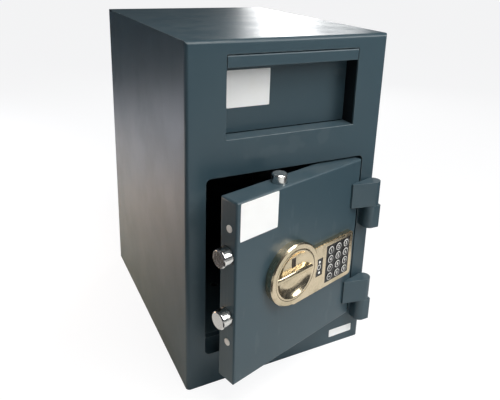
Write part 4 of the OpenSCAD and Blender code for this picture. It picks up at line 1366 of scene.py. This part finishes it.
@dataclass
class Studio:
    """Camera, floor, the cards that gloss mirrors, and light, all in metres."""

    eye: Point = (-0.35944, -0.78888, 0.59347)
    right: Point = (0.89651, -0.44204, 0.0296)
    up: Point = (0.10736, 0.28158, 0.95351)
    back: Point = (-0.42983, -0.85165, 0.2999)
    lens: float = 38.683
    film: float = 36.0
    shift: Pair = (0.0, -0.145)
    clip: Pair = (0.02, 60.0)
    reach: float = 14.0
    glow: float = 1.12
    glow_share: float = 0.80
    shade_level: float = 0.0004
    card_level: float = 0.001
    shade_card: tuple[Pair, ...] = ((-0.14, -0.18), (0.14, -0.18), (0.14, 0.19), (-0.14, 0.19))
    left_card: tuple[Pair, ...] = ((-0.9, -0.8), (-0.13, -0.8), (-0.13, -0.34), (-0.38, -0.3), (-0.38, 0.3),
                                   (-0.9, 0.3))
    right_card: tuple[Pair, ...] = ((0.415, -1.1), (1.6, -1.1), (1.6, 0.1), (0.415, 0.1))

    def camera(self) -> None:
        """Puts the camera at the viewpoint of the picture."""
        data = bpy.data.cameras.new("camera")
        data.lens, data.sensor_width, data.sensor_fit = self.lens, self.film, "HORIZONTAL"
        data.shift_x, data.shift_y = self.shift
        data.clip_start, data.clip_end = self.clip
        camera = put("camera", data)
        turn = Matrix((self.right, self.up, self.back)).transposed()
        camera.matrix_world = Matrix.Translation(self.eye) @ turn.to_4x4()
        bpy.context.scene.camera = camera

    def sheet(self, name: str, corners: tuple[Pair, ...], level: float, detail: tuple[float, float, float],
              tones: tuple[Colour, Colour]) -> tuple[Piece, Graph, bpy.types.Node]:
        """Lays a flat sheet of paper over the ground.

        Args:
            name: Name of the sheet.
            corners: Its corners on the ground in metres.
            level: Height above the ground in metres.
            detail: Scale of its clouds, their share and its roughness.
            tones: Its two colours.

        Returns:
            The sheet, the graph of its material and the shader.
        """
        sheet = mesh_piece(name, [Vector((x, y, level)) for x, y in corners], [tuple(range(len(corners)))])
        material, g, shader = new_material(f"{name}_paper")
        scale, share, roughness = detail
        cloud = g.times(g.noise(scale, 3.0), share)
        g.feed(shader, {"Base Color": g.mix(tones[0], (cloud, tones[1])), "Roughness": roughness})
        sheet.data.materials.append(material)
        return sheet, g, shader

    def floor(self) -> None:
        """Lays a plain pale floor with a dark card under the safe: painted shade where the safe keeps the light off
        the floor.
        """
        corners = tuple((x * self.reach, y * self.reach) for x, y in ((-1, -1), (1, -1), (1, 1), (-1, 1)))
        tones = (0.74, 0.74, 0.735), (0.66, 0.66, 0.66)
        _, g, shader = self.sheet("floor", corners, 0.0, (1.3, 0.1, 0.85), tones)
        glow = g.add("ShaderNodeEmission", {"Color": (0.99, 0.992, 1.0, 1.0), "Strength": self.glow}).outputs[0]
        seen = g.times(g.add("ShaderNodeLightPath").outputs["Is Camera Ray"], self.glow_share)
        both = g.add("ShaderNodeMixShader", {0: seen, 1: shader.outputs[0], 2: glow}).outputs[0]
        g.feed(g.tree.nodes["Material Output"], {"Surface": both})
        self.card("floor_shade", self.shade_card, self.shade_level)

    def card(self, name: str, corners: tuple[Pair, ...], level: float) -> Piece:
        """Lays a dark paper card flat over the floor and returns it."""
        tones = (0.012, 0.012, 0.013), (0.03, 0.03, 0.032)
        return self.sheet(name, corners, level, (30.0, 1.0, 0.9), tones)[0]

    def light(self, name: str, at: Point, to: Point, size: Pair, watts: float, colour: Colour = (1.0, 1.0, 1.0),
              spread: float = 180.0) -> None:
        """Hangs one soft light.

        Args:
            name: Name of the light.
            at: Its place in metres.
            to: The point that it faces.
            size: Width and height in metres.
            watts: Its power.
            colour: Its colour.
            spread: Angle of its beam in degrees.
        """
        data = bpy.data.lights.new(name, "AREA")
        data.shape, data.size, data.size_y = "RECTANGLE", *size
        data.energy, data.color, data.spread = watts, colour, math.radians(spread)
        lamp = put(name, data)
        aim = (Vector(to) - Vector(at)).to_track_quat("-Z", "Y")
        lamp.matrix_world = Matrix.Translation(at) @ aim.to_matrix().to_4x4()
        lamp.visible_camera = False

    def world(self) -> None:
        """Makes a pale room, seen white and giving a dim even light."""
        world = bpy.data.worlds.new("room")
        bpy.context.scene.world = world
        world.use_nodes = True
        g = Graph(world.node_tree)
        seen = g.add("ShaderNodeLightPath").outputs["Is Camera Ray"]
        tone = g.mix((0.05, 0.055, 0.062), (seen, (0.97, 0.975, 0.98)))
        g.feed(world.node_tree.nodes["Background"], {"Color": tone})

    def build(self) -> None:
        """Builds the camera, the room, the floor, the cards that only gloss mirrors, and the lights."""
        self.camera()
        self.world()
        self.floor()
        for name, corners in (("dark_card", self.left_card), ("right_card", self.right_card)):
            mirrored = self.card(name, corners, self.card_level)
            mirrored.visible_camera = mirrored.visible_diffuse = mirrored.visible_shadow = False
        self.light("key", (1.5, -1.7, 1.6), (0.0, -0.1, 0.25), (1.1, 1.1), 34.0, (1.0, 1.0, 0.98))
        self.light("window_core", (1.00, 1.52, 0.72), (0.0, 0.0, 0.45), (0.26, 0.42), 4.2)
        self.light("window_wide", (1.06, 1.48, 0.74), (0.0, 0.0, 0.45), (0.60, 0.46), 4.0)
        self.light("left_floor", (-0.95, 0.8, 1.3), (-0.95, 0.8, 0.0), (0.9, 0.9), 11.0, (0.90, 0.90, 1.0), 65.0)
        self.light("left_low", (-0.62, 0.45, 0.10), (-0.15, 0.15, 0.0), (0.5, 0.12), 0.9, (1.0, 0.66, 0.38), 70.0)
        self.light("front_floor", (0.1, -1.0, 2.0), (0.05, -0.8, 0.0), (1.0, 1.0), 13.0, (1.0, 0.98, 0.94), 100.0)


def main() -> None:
    """Builds the looks in order."""
    logging.basicConfig(level=logging.INFO, format="%(name)s: %(message)s")
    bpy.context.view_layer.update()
    bpy.context.scene.view_settings.view_transform = "Standard"
    palette = Palette()
    Studio().build()
    for part in (Cabinet, Hopper, Door, Boltwork, Lock, Keypad, Labels):
        part(frame["nodes"], palette).build()


if __name__ == "__main__":
    main()
